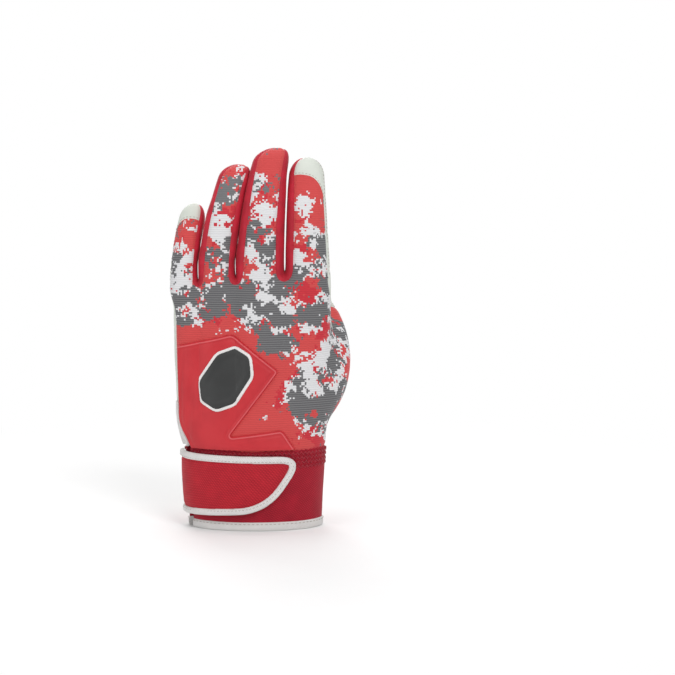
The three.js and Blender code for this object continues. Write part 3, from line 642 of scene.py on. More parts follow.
def thumb_points(reach, degrees):
    """Points of the thumb at distances from its base; the saddle carries on below the base."""
    reach, degrees = np.broadcast_arrays(np.asarray(reach, float), np.asarray(degrees, float))
    t = np.clip(reach / THUMB_LENGTH, 0, 1)[..., None]
    cap = cap_angle(reach, THUMB_LENGTH)
    centre = THUMB_BASE + THUMB_ALONG * (THUMB_LENGTH * t + THUMB_CAP * np.sin(cap)[..., None])
    along = np.broadcast_to(THUMB_ALONG, centre.shape)
    points = tube_points(centre, along, mix(THUMB_BASE_SIZE, THUMB_TIP_SIZE, t), degrees, np.cos(cap))
    speed = 2 * np.linalg.norm(THUMB_BASE - SADDLE_BULGE)  # of the saddle's path as it reaches the base
    below = saddle_points(np.clip(1 + reach / speed, 0, 1), degrees)
    return np.where((reach < 0)[..., None], below, points)


def above_thumb_seam(points):
    """Height above the slanted seam round the thumb's base."""
    return (points - THUMB_BASE) @ (THUMB_ALONG + THUMB_TILT * THUMB_ACROSS)


# Cuff surface

def cuff_points(offset, degrees, z):
    offset, degrees, z = np.broadcast_arrays(*(np.asarray(a, float) for a in (offset, degrees, z)))
    out = offset + CUFF_FLARE * z / CUFF_TOP
    angle = np.radians(degrees)
    x = np.sin(angle) * (CUFF_HALF_WIDTH + out)
    y = CUFF_CENTRE_Y - np.cos(angle) * (CUFF_HALF_DEPTH + out)
    return np.stack([x, y, z], -1)


def cuff_normals(degrees):
    angle = np.radians(degrees)
    x, y = np.sin(angle) / CUFF_HALF_WIDTH, -np.cos(angle) / CUFF_HALF_DEPTH
    return unit(np.stack([x, y, np.zeros_like(angle)], -1))


ARC_DEGREES = np.linspace(-180, 360, 2161)
ARC_LENGTHS = arc_lengths(cuff_points(0, ARC_DEGREES, CUFF_TOP / 2 + 0.5))
ARC_MIDDLE = np.interp(0, ARC_DEGREES, ARC_LENGTHS)


def arc_at(degrees):
    """Distance round the cuff from the middle of the back."""
    return np.interp(degrees, ARC_DEGREES, ARC_LENGTHS) - ARC_MIDDLE


def degrees_at(arc):
    return np.interp(arc + ARC_MIDDLE, ARC_LENGTHS, ARC_DEGREES)


def half_angle(width):
    """Half the angle round the cuff that a width takes up."""
    return math.degrees(width / 2 / CUFF_HALF_WIDTH)


CUFF_FROM, CUFF_TO = SLIT_ANGLE + half_angle(SLIT_WIDTH), SLIT_ANGLE - half_angle(SLIT_WIDTH) + 360


# Materials

def colour(code):
    """A linear colour from a hexadecimal display colour."""
    parts = [int(code[k:k + 2], 16) / 255 for k in (0, 2, 4)]
    return (*[c / 12.92 if c < 0.04045 else ((c + 0.055) / 1.055) ** 2.4 for c in parts], 1)


class Nodes:
    """Short calls that add shader nodes to a tree and give their outputs."""

    def __init__(self, tree):
        self.tree = tree

    def put(self, socket, value):
        """Links an input to a socket, or sets it. A text is the code of a colour."""
        if isinstance(value, bpy.types.NodeSocket):
            self.tree.links.new(value, socket)
        else:
            socket.default_value = colour(value) if isinstance(value, str) else value

    def add(self, kind, inputs=None, **settings):
        made = self.tree.nodes.new(f"ShaderNode{kind}")
        for key, value in settings.items():
            setattr(made, key, value)
        for key, value in (inputs or {}).items():
            self.put(made.inputs[key], value)
        return made.outputs

    def math(self, operation, *values):
        return self.add("Math", dict(enumerate(values)), operation=operation)[0]

    def times(self, a, b):
        return self.math("MULTIPLY", a, b)

    def plus(self, a, b):
        return self.math("ADD", a, b)

    def scaled(self, value, factor, added):
        return self.math("MULTIPLY_ADD", value, factor, added)

    def vector(self, operation, *values):
        return self.add("VectorMath", dict(enumerate(values)), operation=operation)

    def attribute(self, name, output="Fac"):
        return self.add("Attribute", attribute_name=name)[output]

    def axes(self, vector):
        return list(self.add("SeparateXYZ", {"Vector": vector}))

    def colours(self, factor, low, high, blend="MIX"):
        """A colour between two others."""
        return self.add("Mix", {0: factor, 6: low, 7: high}, data_type="RGBA", blend_type=blend)[2]

    def noise(self, vector, scale, detail=2.0, roughness=0.5):
        inputs = {"Vector": vector, "Scale": scale, "Detail": detail, "Roughness": roughness}
        return self.add("TexNoise", inputs)["Fac"]

    def wave(self, value, pitch):
        """A wave from 0 to 1 along a length, with a pitch in millimetres."""
        return self.scaled(self.math("SINE", self.times(value, 2 * math.pi / pitch)), 0.5, 0.5)

    def ramp(self, value, low, high, start=0.0, end=1.0):
        inputs = {"Value": value, "From Min": low, "From Max": high, "To Min": start, "To Max": end}
        return self.add("MapRange", inputs, interpolation_type="SMOOTHSTEP")[0]

    def shown(self):
        """One for the rays that show the background: to the camera, mirrored or passed through."""
        path = self.add("LightPath")
        mirrored = self.math("MAXIMUM", path["Is Glossy Ray"], path["Is Transmission Ray"])
        return self.math("MAXIMUM", path["Is Camera Ray"], mirrored)


class Cloth(Nodes):
    """A principled material. Its rest gives the points of the surface at rest, in millimetres."""

    def __init__(self, name, roughness, sheen=0.0, specular=0.4):
        self.material = bpy.data.materials.new(name)
        self.material.use_nodes = True
        super().__init__(self.material.node_tree)
        self.shader = self.tree.nodes["Principled BSDF"].inputs
        self.put(self.shader["Roughness"], roughness)
        self.put(self.shader["Sheen Weight"], sheen)
        self.put(self.shader["Specular IOR Level"], specular)
        self.rest = self.attribute("rest", "Vector")

    def finish(self, base, height, strength, depth):
        """Links a colour, and a height as bump of a depth in millimetres."""
        self.put(self.shader["Base Color"], base)
        bump = self.add("Bump", {"Height": height, "Strength": strength, "Distance": depth / 1000})
        self.put(self.shader["Normal"], bump[0])
        return self.material


def camo_knit():
    """Ribbed knit with a print of square pixels: plain red in places, and blotches elsewhere."""
    pixel, rib = 1.0, 1.3
    knit = Cloth("camo_knit", 0.72, sheen=0.15, specular=0.3)
    z = knit.axes(knit.rest)[2]
    calm = knit.attribute("plain")
    square = knit.vector("SNAP", knit.attribute("print", "Vector"), (pixel,) * 3)[0]

    def blotches(shift, threshold):
        """Ragged patches, larger across the hand than along it."""
        moved = knit.vector("ADD", square, shift)[0]
        squeezed = knit.vector("MULTIPLY", moved, (1, 1, 1.3))[0]
        large = knit.times(knit.noise(squeezed, 0.05, 1.0), 0.62)
        value = knit.scaled(knit.noise(moved, 0.24, 2.0, 0.65), 0.38, large)
        single = knit.add("TexWhiteNoise", {"Vector": moved})["Value"]
        limit = knit.scaled(single, 0.05, knit.plus(calm, threshold - 0.025))
        return knit.math("GREATER_THAN", value, limit)

    grey, white = blotches((71, 13, 37), 0.5), blotches((0, 0, 0), 0.485)
    base = knit.colours(blotches((20, 5, 140), 0.5), "CC4646", "C42C38")
    base = knit.colours(white, base, "DCDCDE")
    base = knit.colours(grey, base, "717173")
    ribs = knit.wave(z, rib)
    # Painted shade: the grooves between the ribs are darkened in colour, most on the grey blotches and less
    # towards the fingertips.
    groove_shade_strength = knit.times(knit.scaled(grey, 0.42, 0.13), knit.ramp(z, 180, 196, 1, 0.2))
    groove_shade = knit.times(knit.ramp(ribs, 0.0, 0.7, 1, 0), groove_shade_strength)
    base = knit.colours(groove_shade, base, "4A4648", "MULTIPLY")
    return knit.finish(base, ribs, 0.5, 0.22)


def leather(name, code, mottled):
    """Soft pale goatskin with fine grain and faint mottling."""
    skin = Cloth(name, 0.52, sheen=0.05)
    mottle = skin.noise(skin.rest, 0.05, 3.0)
    base = skin.colours(skin.ramp(mottle, 0.3, 0.75), code, mottled)
    inputs = {"Vector": skin.rest, "Scale": 1.3}
    cells = skin.add("TexVoronoi", inputs, feature="DISTANCE_TO_EDGE")["Distance"]
    grain = skin.plus(skin.times(skin.ramp(cells, 0, 0.25), 0.6), skin.noise(skin.rest, 0.5, 3.0))
    skin.put(skin.shader["Roughness"], skin.ramp(mottle, 0.2, 0.8, 0.46, 0.6))
    return skin.finish(base, grain, 0.35, 0.2)


def stretch_fabric(name, code, dark):
    """Smooth stretch fabric with a fine knit."""
    knit = Cloth(name, 0.62, sheen=0.08)
    base = knit.colours(knit.ramp(knit.noise(knit.rest, 0.12), 0.3, 0.7), code, dark)
    x, y, z = knit.axes(knit.rest)
    level = knit.plus(x, y)
    weave = knit.times(knit.wave(knit.plus(level, z), 0.8), knit.wave(knit.math("SUBTRACT", z, level), 0.8))
    return knit.finish(base, weave, 0.4, 0.15)


def woven(name, code, dark, pitch, slant):
    """Woven webbing or elastic: raised threads in slanted rows round the wrist."""
    web = Cloth(name, 0.68, sheen=0.05, specular=0.25)
    x, y, z = web.axes(web.rest)
    depth = web.times(web.plus(y, -CUFF_CENTRE_Y), -CUFF_HALF_WIDTH / CUFF_HALF_DEPTH)
    around = web.times(web.math("ARCTAN2", x, depth), CUFF_RADIUS)
    first = web.wave(web.scaled(z, slant, around), pitch)
    second = web.wave(web.scaled(around, -0.35 * slant, z), pitch * 0.8)
    threads = web.times(first, second)
    # Painted shade and real tone: darker colour in the gaps between the raised threads, and random variation
    # from noise.
    gap_shade_and_tone = web.plus(web.times(threads, 0.8), web.times(web.noise(web.rest, 0.15), 0.5))
    base = web.colours(web.ramp(gap_shade_and_tone, 0.15, 0.8), dark, code)
    return web.finish(base, threads, 0.7, 0.3)


def moulded(name, code, roughness, mottled, ridge_highlight=None):
    """Moulded rubbery surface with a fine matt grain, and, where given, a painted highlight: a paler line
    along the pad's edge.
    """
    rubber = Cloth(name, roughness)
    base = rubber.colours(rubber.ramp(rubber.noise(rubber.rest, 0.08), 0.3, 0.75), code, mottled)
    if ridge_highlight:
        # Painted highlight: a paler colour along the raised line near the pad's edge.
        off_line = rubber.math("ABSOLUTE", rubber.plus(rubber.attribute("pad_edge"), -1.1))
        base = rubber.colours(rubber.ramp(off_line, 0.15, 0.5, 0.55, 0), base, ridge_highlight)
    return rubber.finish(base, rubber.noise(rubber.rest, 2.2), 0.25, 0.12)


def pile(name, code, dark):
    """Touch fastener pile: a dense rough mat of loops."""
    mat = Cloth(name, 0.95, sheen=0.4, specular=0.1)
    loops = mat.add("TexVoronoi", {"Vector": mat.rest, "Scale": 1.1})["Distance"]
    return mat.finish(mat.colours(mat.ramp(loops, 0.1, 0.7), code, dark), loops, 0.9, 0.6)


def thread(name, code, dark):
    """Twisted sewing thread."""
    yarn = Cloth(name, 0.6, sheen=0.2)
    twist = yarn.noise(yarn.rest, 3.0, 1.0)
    return yarn.finish(yarn.colours(yarn.ramp(twist, 0.3, 0.7), code, dark), twist, 0.4, 0.1)


KNIT = camo_knit()
LEATHER = leather("palm_leather", "D5D9D1", "CBD0C7")
GUSSET = stretch_fabric("gusset_red", "BC0D2C", "A60A25")
# The last colour of the pad is its painted highlight along the edge.
PAD_RED = moulded("pad_red", "C1262F", 0.48, "B7202A", "DE7074")
BADGE_DARK = moulded("badge_dark", "2A2B2B", 0.45, "232424")
BADGE_WHITE = moulded("badge_white", "E6E4E3", 0.45, "DAD8D7")
CUFF_RED = woven("cuff_red", "B4142C", "8A0B20", 1.5, 0.9)
STRAP_RED = woven("strap_red", "C4202F", "9E1424", 1.3, 0.6)
TAB_RED = woven("tab_red", "C43340", "A62433", 1.0, 0.3)
TAPE_WHITE = woven("tape_white", "E9E8E6", "D6D4D2", 0.9, 0.5)
PILE_RED = pile("fastener_pile", "8C1D2C", "4A0F18")
PALE_THREAD = thread("pale_thread", "BFB3AC", "99908B")
RED_THREAD = thread("red_thread", "B21D33", "8A1024")
TAB_THREAD = thread("tab_thread", "DD9A98", "C47678")


# Hand: one skin over the hand and the saddle of the thumb, cut along its seams

def remeshed(parts, voxel):
    """One skin of even triangles over closed parts that run into each other."""
    mesh = bpy.data.meshes.new("skin")
    points, faces = joined(parts)
    mesh.from_pydata(points.tolist(), [], faces)
    obj = bpy.data.objects.new("skin", mesh)
    bpy.context.scene.collection.objects.link(obj)
    bpy.context.view_layer.objects.active = obj
    mesh.remesh_voxel_size = voxel
    bpy.ops.object.voxel_remesh()
    mesh.calc_loop_triangles()
    points = np.array([v.co for v in mesh.vertices], float)
    triangles = np.array([t.vertices for t in mesh.loop_triangles], int)
    bpy.data.objects.remove(obj)
    return points, triangles


def nearest(part, points):
    """The nearest points of a closed part, and the distances to them, positive outside it."""
    tree = BVHTree.FromPolygons(part[0].tolist(), part[1].tolist())
    found = [tree.find_nearest(Vector(p)) for p in points]
    places = np.array([f[0] for f in found])
    normals = np.array([f[1] for f in found])
    return places, np.sum((points - places) * normals, -1)


def hand_skin():
    """Points and triangles of the skin, and their distances from the hand and from the saddle."""
    columns, rows, saddle_columns, saddle_rows = 320, 70, 72, 60
    around = np.linspace(0, len(COLUMNS), columns + 1)[:-1]
    body = hand_points(around, np.linspace(-0.07, 1, rows)[:, None])
    hand = loft(np.concatenate([body, body[-1:] + np.array([0, 0, 8.0])]))
    turn = np.linspace(0, 360, saddle_columns + 1)[:-1]
    along, turns = np.broadcast_arrays(np.linspace(0, 1, saddle_rows)[:, None], turn)
    body = saddle_points(along, turns)
    end = thumb_points(np.linspace(1, 10, 8)[:, None], turn)
    saddle = loft(np.concatenate([body, end]))
    points, faces = remeshed([hand, saddle], VOXEL)
    for _ in range(2):
        on_hand, from_hand = nearest(hand, points)
        on_saddle, from_saddle = nearest(saddle, points)
        points = np.where((np.abs(from_hand) < np.abs(from_saddle))[:, None], on_hand, on_saddle)
    soften = smooth(1 - np.maximum(from_hand, from_saddle) / FILLET)[:, None]
    edges = triangle_edges(faces)
    counts = np.bincount(edges[:, 0], minlength=len(points))[:, None]
    for _ in range(FILLET_ROUNDS):
        mean = np.zeros_like(points)
        np.add.at(mean, edges[:, 0], points[edges[:, 1]])
        points = points + 0.5 * soften * (mean / counts - points)
    return points, faces, nearest(hand, points)[1], nearest(saddle, points)[1]


def pinky_seam_y(z):
    """Depth of the seam on the little-finger side at a height."""
    share = np.linspace(0, 1, 40)
    line = hand_points(np.full(40, (90 - PINKY_OUTER_EDGE) / (90 + BACK_EDGE)), share)
    beside_pad = smooth((z - SIDE_SEAM_FROM) / 14) * smooth((SIDE_SEAM_TO - z) / 18)
    return np.interp(z, line[:, 2], line[:, 1]) - SIDE_SEAM_SHIFT * beside_pad


def slit_edge_y(z, degrees):
    """Depth of a slit edge that lies at an angle round the wrist and closes at the slit's top."""
    wrist = CUFF_CENTRE_Y - (CUFF_HALF_DEPTH + CUFF_FLARE) * math.cos(math.radians(degrees))
    share = np.clip((SLIT_TOP - z) / (SLIT_TOP - HAND_START), 0, 1)
    return mix(pinky_seam_y(z), wrist, share)


def past_line(line, x, z):
    """Distance past a line of X and Z that is given by a point and a normal."""
    return (x - line[0]) * line[2] + (z - line[1]) * line[3]


def hand_pieces():
    points, faces, from_hand, from_saddle = hand_skin()
    x, y, z = points.T
    index_seam = INDEX_SEAM_Y + INDEX_SEAM_SWING * smooth((INDEX_SEAM_TOP - z) / INDEX_SEAM_RUN)
    thumb_side = np.minimum(from_hand - from_saddle, past_line(PALM_LINE, x, z))
    thumb_side = np.maximum(np.maximum(index_seam - y, past_line(WRIST_LINE, x, z)), thumb_side)
    knit = np.where(x < 0, slit_edge_y(z, CUFF_FROM) - y, thumb_side)
    palm = np.where(x < 0, y - slit_edge_y(z, CUFF_TO), -thumb_side)
    in_thumb = (y > 15) & (z > 115)  # the rest of the hand isn't cut by the thumb's seam
    thumb = np.where(in_thumb, -above_thumb_seam(points), 9)
    table = np.column_stack([points, z - HAND_START + 1, knuckle_z(x) - z, thumb, knit, palm])
    at_cuff, at_knuckles, at_thumb, at_knit, at_palm = range(3, 8)
    for column in (at_cuff, at_knuckles, at_thumb):
        table, faces, _ = cut(table, faces, column)
    table, knit_faces, rest = cut(table, faces, at_knit)
    table, palm_faces, _ = cut(table, rest, at_palm)
    points = table[:, :3]
    normals = mesh_normals(points, np.concatenate([knit_faces, palm_faces]))
    waves = PALM_WAVE * ripple(points, PALM_WAVE_LENGTH, 5) * smooth(table[:, at_palm] / 8)
    for name, nodes, column, chosen, material, slot in (
        ("back", ["back_panel", "thumb_saddle"], at_knit, knit_faces, KNIT, "knit_back"),
        ("palm", ["palm_panel"], at_palm, palm_faces, LEATHER, "palm_leather"),
    ):
        seams = np.maximum(bell(table[:, column], SEAM_REACH), bell(table[:, at_thumb], SEAM_REACH))
        dip = SEAM_DIP * seams + 0.9 * bell(table[:, at_cuff], 0.9)
        top = points - normals * dip[:, None]
        if name == "palm":
            top = top + normals * waves[:, None]
        piece(name, [closed(top, top - WALL * normals, chosen)], [material], slot, nodes=nodes)


# Fingers and thumb

def sewn(grid, away_from, bumps, free):
    """A panel's outer grid, pulled in at its sewn sides where they are free, its inner grid and normals."""
    normals = grid_normals(grid, away_from)
    steps = np.linalg.norm(np.diff(grid, axis=1), axis=-1)
    arc = np.concatenate([np.zeros((len(grid), 1)), np.cumsum(steps, axis=1)], axis=1)
    first, last = (side[:, None] for side in free)
    dip = SEAM_DIP * (first * bell(arc, SEAM_REACH) + last * bell(arc[:, -1:] - arc, SEAM_REACH))
    outer = grid + normals * (bumps - dip)[..., None]
    return outer, outer - WALL * normals, normals


def spaced(start, end, finer=1.0):
    """Rows from a start to an end for each column, closer together at the start."""
    count = int((np.max(end) - np.min(start)) / STEP * 1.15) + 2
    share = (np.linspace(0, 1, count) ** finer)[:, None]
    return mix(start, end, share)


def finger_bends(number):
    """For each segment of a finger, the bodies that it bends between, and where."""
    finger = FINGERS[number]
    length, lower, tip = finger_length(finger), f"{finger['name']}_lower", f"{finger['name']}_tip"
    centre, along, _, depth, _, half_depth = finger_frame(finger, np.array(0.0))
    slope = max(CROTCH_RISE[max(0, number - 1):number + 1]) / (1.3 * half_depth)
    start = centre - depth * half_depth * 0.65 + along * 1.5
    end = start + unit(along - slope * depth) * KNUCKLE_BEND * length / math.sqrt(1 + slope * slope)
    middle, along = finger_frame(finger, np.array(MID_JOINT))[:2]
    half = along * (MIDDLE_HALF_BEND * length)
    return {"lower": ("hand", lower, (start, end)), "tip": (lower, tip, (middle - half, middle + half))}


def finger_columns(number, low, high):
    """Angles of a panel's columns between its two edges."""
    width = FINGERS[number]["root"][1]
    return np.linspace(low, high, max(8, int(abs(high - low) / 360 * 2.9 * width / STEP)))


def finger_panel(number, part, degrees, start, end, finer=1.0, creases=()):
    """One sewn panel of a finger from a start to an end at each angle: outer and inner grid, and normals."""
    length = finger_length(FINGERS[number])
    across = (degrees - degrees[0]) / (degrees[-1] - degrees[0])
    reach = spaced(start, end, finer)
    grid = pulled(number, reach, np.broadcast_to(degrees, reach.shape), part)
    t = np.clip(reach / length, 0, 1)
    bumps = np.zeros(reach.shape)
    fade = np.sin(math.pi * across) ** 0.6  # creases run out before the seams
    for share, depth, width in creases:
        wander = 0.6 * np.sin(np.radians(degrees) * 3 + share * 9)
        bumps -= fade * depth * bell((t - share) * length + wander, width)
    rises = [-9, *CROTCH_RISE, -9]  # an outer side is free all along
    shut = {"back": (0, 0), "palm": (rises[number + 1], rises[number])}.get(part, (reach[0, 0], reach[0, -1]))
    free = [smooth((reach[:, side] - shut[side]) / 1.5) for side in (0, -1)]
    return sewn(grid, finger_frame(FINGERS[number], t)[0], bumps, free)


def finger_pieces(number):
    name, length = FINGERS[number]["name"], finger_length(FINGERS[number])
    first, last = number == 0, number == len(FINGERS) - 1
    wrapped = first or last
    left = -PINKY_OUTER_EDGE if first else -BACK_EDGE
    right = INDEX_OUTER_EDGE if last else BACK_EDGE
    palm_left, palm_right = right if last else PALM_EDGE, 360 + left if first else 360 - PALM_EDGE
    whole = length + CAP_ARC
    palm_end = whole if wrapped else length + 0.6 * CAP_ARC
    bends = finger_bends(number)

    def wrap_seam(degrees):
        """Seam of the leather that wraps the tip: an arch that runs down the finger's outer side."""
        share = (degrees - left) / (right - left)
        outer_side = np.clip(((share if last else 1 - share) - WRAP_LEVEL) / (1 - WRAP_LEVEL), 0, 1)
        return length - WRAP_DROP[name] * (1 - np.sqrt(1 - outer_side**2))

    strips = [("back", "back", left, right, KNIT, "knit_back")]
    strips.append(("palm", "palm", palm_left, palm_right, LEATHER, "palm_leather"))
    if not last:
        strips.append(("gusset_thumbside", "thumbside", BACK_EDGE, PALM_EDGE, GUSSET, "gusset_red"))
    if not first:
        strips.append(("gusset_outside", "outside", -PALM_EDGE, -BACK_EDGE, GUSSET, "gusset_red"))
    for strip, part, low, high, material, slot in strips:
        degrees = finger_columns(number, low, high)
        begin = 0 * degrees
        if part not in EDGES:
            begin = crotch_height(number if part == "thumbside" else number - 1, gusset_share(degrees))
        halfway = np.full(degrees.shape, JUNCTION * length)
        end = np.full(degrees.shape, palm_end if part == "palm" else whole)
        if part == "back" and wrapped:
            end = wrap_seam(degrees)
        creases = PALM_CREASES if part == "palm" else ()
        for segment, start, stop, finer in (("lower", begin, halfway, 1.5), ("tip", halfway, end, 1.0)):
            outer, inner, normals = finger_panel(number, part, degrees, start, stop, finer, creases)
            parts = [shell(outer, inner)]
            if part == "palm":
                rows = slice(3, None) if segment == "lower" else slice(0, -6)
                for column in (2, -3):
                    parts.append(stitches(outer[rows, column], normals[rows, column], *LEATHER_STITCH))
            if part == "back" and segment == "tip" and not wrapped:
                over = finger_columns(number, PALM_EDGE, 360 - PALM_EDGE)
                ends = np.full(over.shape, palm_end), np.full(over.shape, whole)
                parts.append(shell(*finger_panel(number, "palm", over, *ends)[:2]))
            piece(f"{name}_{segment}_{strip}", parts, [material, PALE_THREAD], slot, *bends[segment])
    if wrapped:
        degrees = finger_columns(number, left, right)
        end = np.full(degrees.shape, whole)
        outer, inner, normals = finger_panel(number, "back", degrees, wrap_seam(degrees), end)
        parts = [shell(outer, inner), stitches(outer[2], normals[2], *LEATHER_STITCH)]
        piece(f"{name}_tip_wrap", parts, [LEATHER, PALE_THREAD], "palm_leather", f"{name}_tip")


def thumb_pieces():
    normal = THUMB_ALONG + THUMB_TILT * THUMB_ACROSS
    middle = THUMB_BASE + THUMB_ALONG * THUMB_LENGTH * THUMB_MID_JOINT
    half = THUMB_ALONG * THUMB_HALF_BEND
    base_end = THUMB_BASE + normal * THUMB_BASE_BEND / (normal @ normal)
    bends = {
        "lower": ("hand", "thumb_lower", (THUMB_BASE, base_end)),
        "tip": ("thumb_lower", "thumb_tip", (middle - half, middle + half)),
    }
    creases = ((THUMB_LENGTH * THUMB_MID_JOINT, 0.45, 1.3), (THUMB_LENGTH * 0.8, 0.3, 1.5))
    for name, low, high in (("inner", -90, 90), ("outer", 90, 270)):
        degrees = np.linspace(low, high, 36)
        seam = np.zeros(degrees.shape)
        for _ in range(8):
            seam = seam - above_thumb_seam(thumb_points(seam, degrees))
        junction = np.full(degrees.shape, THUMB_JUNCTION)
        for segment, start, stop in (("lower", seam, junction), ("tip", junction, THUMB_LENGTH + CAP_ARC)):
            reach = spaced(start, stop)
            grid = thumb_points(reach, np.broadcast_to(degrees, reach.shape))
            bumps = 0.2 * (ripple(grid, 14, 3) - 1.5)
            for distance, depth, width in creases:
                bumps = bumps - depth * bell(reach - distance + 0.8 * np.sin(np.radians(degrees) * 2), width)
            if segment == "lower":
                bumps = bumps - SEAM_DIP * bell(reach - start, SEAM_REACH)
            centre = THUMB_BASE + THUMB_ALONG * np.clip(reach, 0, THUMB_LENGTH)[..., None]
            outer, inner, normals = sewn(grid, centre, bumps, [np.ones(len(grid))] * 2)
            parts = [shell(outer, inner)]
            if segment == "lower":
                parts += [stitches(outer[row], normals[row], *LEATHER_STITCH) for row in (2, 4)]
            piece(f"thumb_{segment}_{name}", parts, [LEATHER, PALE_THREAD], "palm_leather", *bends[segment])


# Layers that lie on the hand's back or on the cuff

def layer(surface, normals, inside, top, bottom):
    """A closed layer where a field is positive, up to a height that depends on the distance from its edge."""
    quads = grid_faces(*inside.shape)
    triangles = np.concatenate([quads[:, [0, 1, 2]], quads[:, [0, 2, 3]]])
    table = np.column_stack([surface.reshape(-1, 3), normals.reshape(-1, 3), inside.ravel()])
    table, kept, _ = cut(table, triangles, 6)
    points, normals = table[:, :3], unit(table[:, 3:6])
    height = top(np.maximum(table[:, 6], 0))
    return closed(points + normals * height[:, None], points + normals * bottom, kept)


def round_edge(distance, height, radius, foot=0.0):
    """A height that rises from a foot over a rounded edge."""
    share = 1 - np.clip(distance / radius, 0, 1)
    return foot + (height - foot) * np.sqrt(np.maximum(0, 1 - share**2))


def back_grid(low_v, high_v, low_u, high_u, step):
    """A grid on the back of the hand between two v and two u, with a spacing of about a step."""
    v = np.linspace(low_v, high_v, int((high_v - low_v) * PANEL_WIDTH / step))
    u = np.linspace(low_u, high_u, int((high_u - low_u) * BACK_HEIGHT / step))[:, None]
    grid = hand_points(v, u)
    return grid, grid_normals(grid, np.array([0, 4.0, 90]))


def pad_piece():
    grid, normals = back_grid(0.02, 3.6, 0.0, 0.74, LAYER_STEP)
    x, y, z = np.moveaxis(grid, -1, 0)
    side = slit_edge_y(z, CUFF_FROM) - y - PAD_SIDE_MARGIN
    inside = np.minimum(polygon_distance(grid[..., [0, 2]], PAD_SHAPE), side)
    bend = x + 38 - 0.06 * (z - 70)  # the pad folds softly where it turns round the side of the hand
    fold = 0.35 * bell(bend + 4, 2.2) - 0.55 * bell(bend, 1.8)
    fold = fold * smooth((z - 50) / 6) * smooth((98 - z) / 12)

    def top(distance):
        """A rounded edge with a raised line and a groove inside it."""
        line = 0.35 * bell(distance - 1.3, 0.55) - 0.3 * bell(distance - 2.6, 0.6)
        return PAD_HEIGHT * round_edge(distance, 1, 1.0) + line

    pad = layer(grid + normals * fold[..., None], normals, inside, top, -0.2)
    piece("back_pad", [pad], [PAD_RED], "pad_red")


def badge_pieces():
    grid, normals = back_grid(0.3, 2.7, 0.1, 0.66, BADGE_STEP)
    cosine, sine = math.cos(math.radians(BADGE_TURN)), math.sin(math.radians(BADGE_TURN))
    x, z = np.moveaxis(grid[..., [0, 2]] - np.array(BADGE_CENTRE), -1, 0)
    local = np.stack([x * cosine + z * sine, -x * sine + z * cosine], -1)
    length, width = BADGE_LENGTH / 2, BADGE_WIDTH / 2
    corners = [(0.42 * width, length), (width, 0.5 * length), (width, -0.5 * length), (0.42 * width, -length)]
    corners += [(-a, -b) for a, b in corners]
    inside = polygon_distance(local, rounded(corners, 3))

    def rim_top(distance):
        return round_edge(distance, PAD_HEIGHT + 0.9, 0.5, PAD_HEIGHT - 0.3)

    def face_top(distance):
        dish = 0.25 * smooth((distance - 2) / 3)
        return round_edge(distance, PAD_HEIGHT + 1.35, 0.45, PAD_HEIGHT + 0.5) - dish

    rim = layer(grid, normals, inside, rim_top, PAD_HEIGHT - 0.4)
    face = layer(grid, normals, inside - BADGE_RIM, face_top, PAD_HEIGHT + 0.3)
    piece("badge_rim", [rim], [BADGE_WHITE], "badge_white")
    piece("badge_face", [face], [BADGE_DARK], "badge_dark")


def cuff_grid(low, high, bottom, top, step):
    """Points, normals, distances round and heights of a grid on the cuff between two angles."""
    degrees = degrees_at(np.arange(arc_at(low), arc_at(high) + step / 2, step))
    z = np.arange(bottom, top + step / 2, step)[:, None]
    degrees, z = np.broadcast_arrays(degrees, z)
    return cuff_points(0, degrees, z), cuff_normals(degrees), arc_at(degrees), z


def on_cuff(arc, z, offset):
    """Points and normals over the cuff at distances round it and heights."""
    degrees = degrees_at(arc)
    return cuff_points(offset, degrees, z), cuff_normals(degrees)


def cuff_pieces():
    surface, normals, arc, z = cuff_grid(CUFF_FROM, CUFF_TO, HEM_HEIGHT - 0.5, CUFF_TOP, CUFF_STEP)
    gather = GATHER_DEPTH * np.sin(arc * 2 * math.pi / GATHER_PITCH) * smooth((z - 36) / 4)
    swell = 0.3 * np.sin(math.pi * np.clip((z - HEM_HEIGHT) / (CUFF_TOP - HEM_HEIGHT), 0, 1))
    swell = swell + 0.1 * ripple(surface, 30, 8)
    dip = 0.7 * bell(CUFF_TOP - z, 1.4)
    outer = surface + normals * (gather + swell - 0.35 - dip)[..., None]
    parts = [shell(outer, surface - CUFF_WALL * normals)]
    along = np.arange(arc_at(CUFF_FROM) + 2, arc_at(CUFF_TO) - 2, 0.6)
    lift = 0.3 + GATHER_DEPTH * np.sin(along * 2 * math.pi / GATHER_PITCH)
    for row, height in enumerate(ZIGZAG_HEIGHTS):
        zigzag = np.arcsin(np.sin(along * 2 * math.pi / ZIGZAG_PITCH + row)) / (math.pi / 2)
        path, path_normals = on_cuff(along, height + ZIGZAG_SWING * zigzag, 0)
        path = path + path_normals * lift[:, None]
        parts.append(loft(swept(path, path_normals, 0.5, 0.4, 6), 1))
    piece("cuff", parts, [CUFF_RED, RED_THREAD], "cuff_red", nodes=["cuff_band"])


def hem_piece():
    degrees = degrees_at(np.arange(arc_at(CUFF_FROM), arc_at(CUFF_TO), 1.2))
    normals = cuff_normals(degrees)
    path = cuff_points(-CUFF_WALL / 2 + 0.1 * np.sin(degrees / 9), degrees, HEM_HEIGHT / 2)
    tape = loft(swept(path, normals, HEM_HEIGHT, CUFF_WALL + 2 * HEM_PROUD, 20))
    line = cuff_points(HEM_PROUD - 0.1, degrees, HEM_HEIGHT - 1.2)
    parts = [tape, stitches(line, normals, *HEM_STITCH)]
    piece("hem", parts, [TAPE_WHITE, PALE_THREAD], "binding_white", nodes=["hem_binding"])


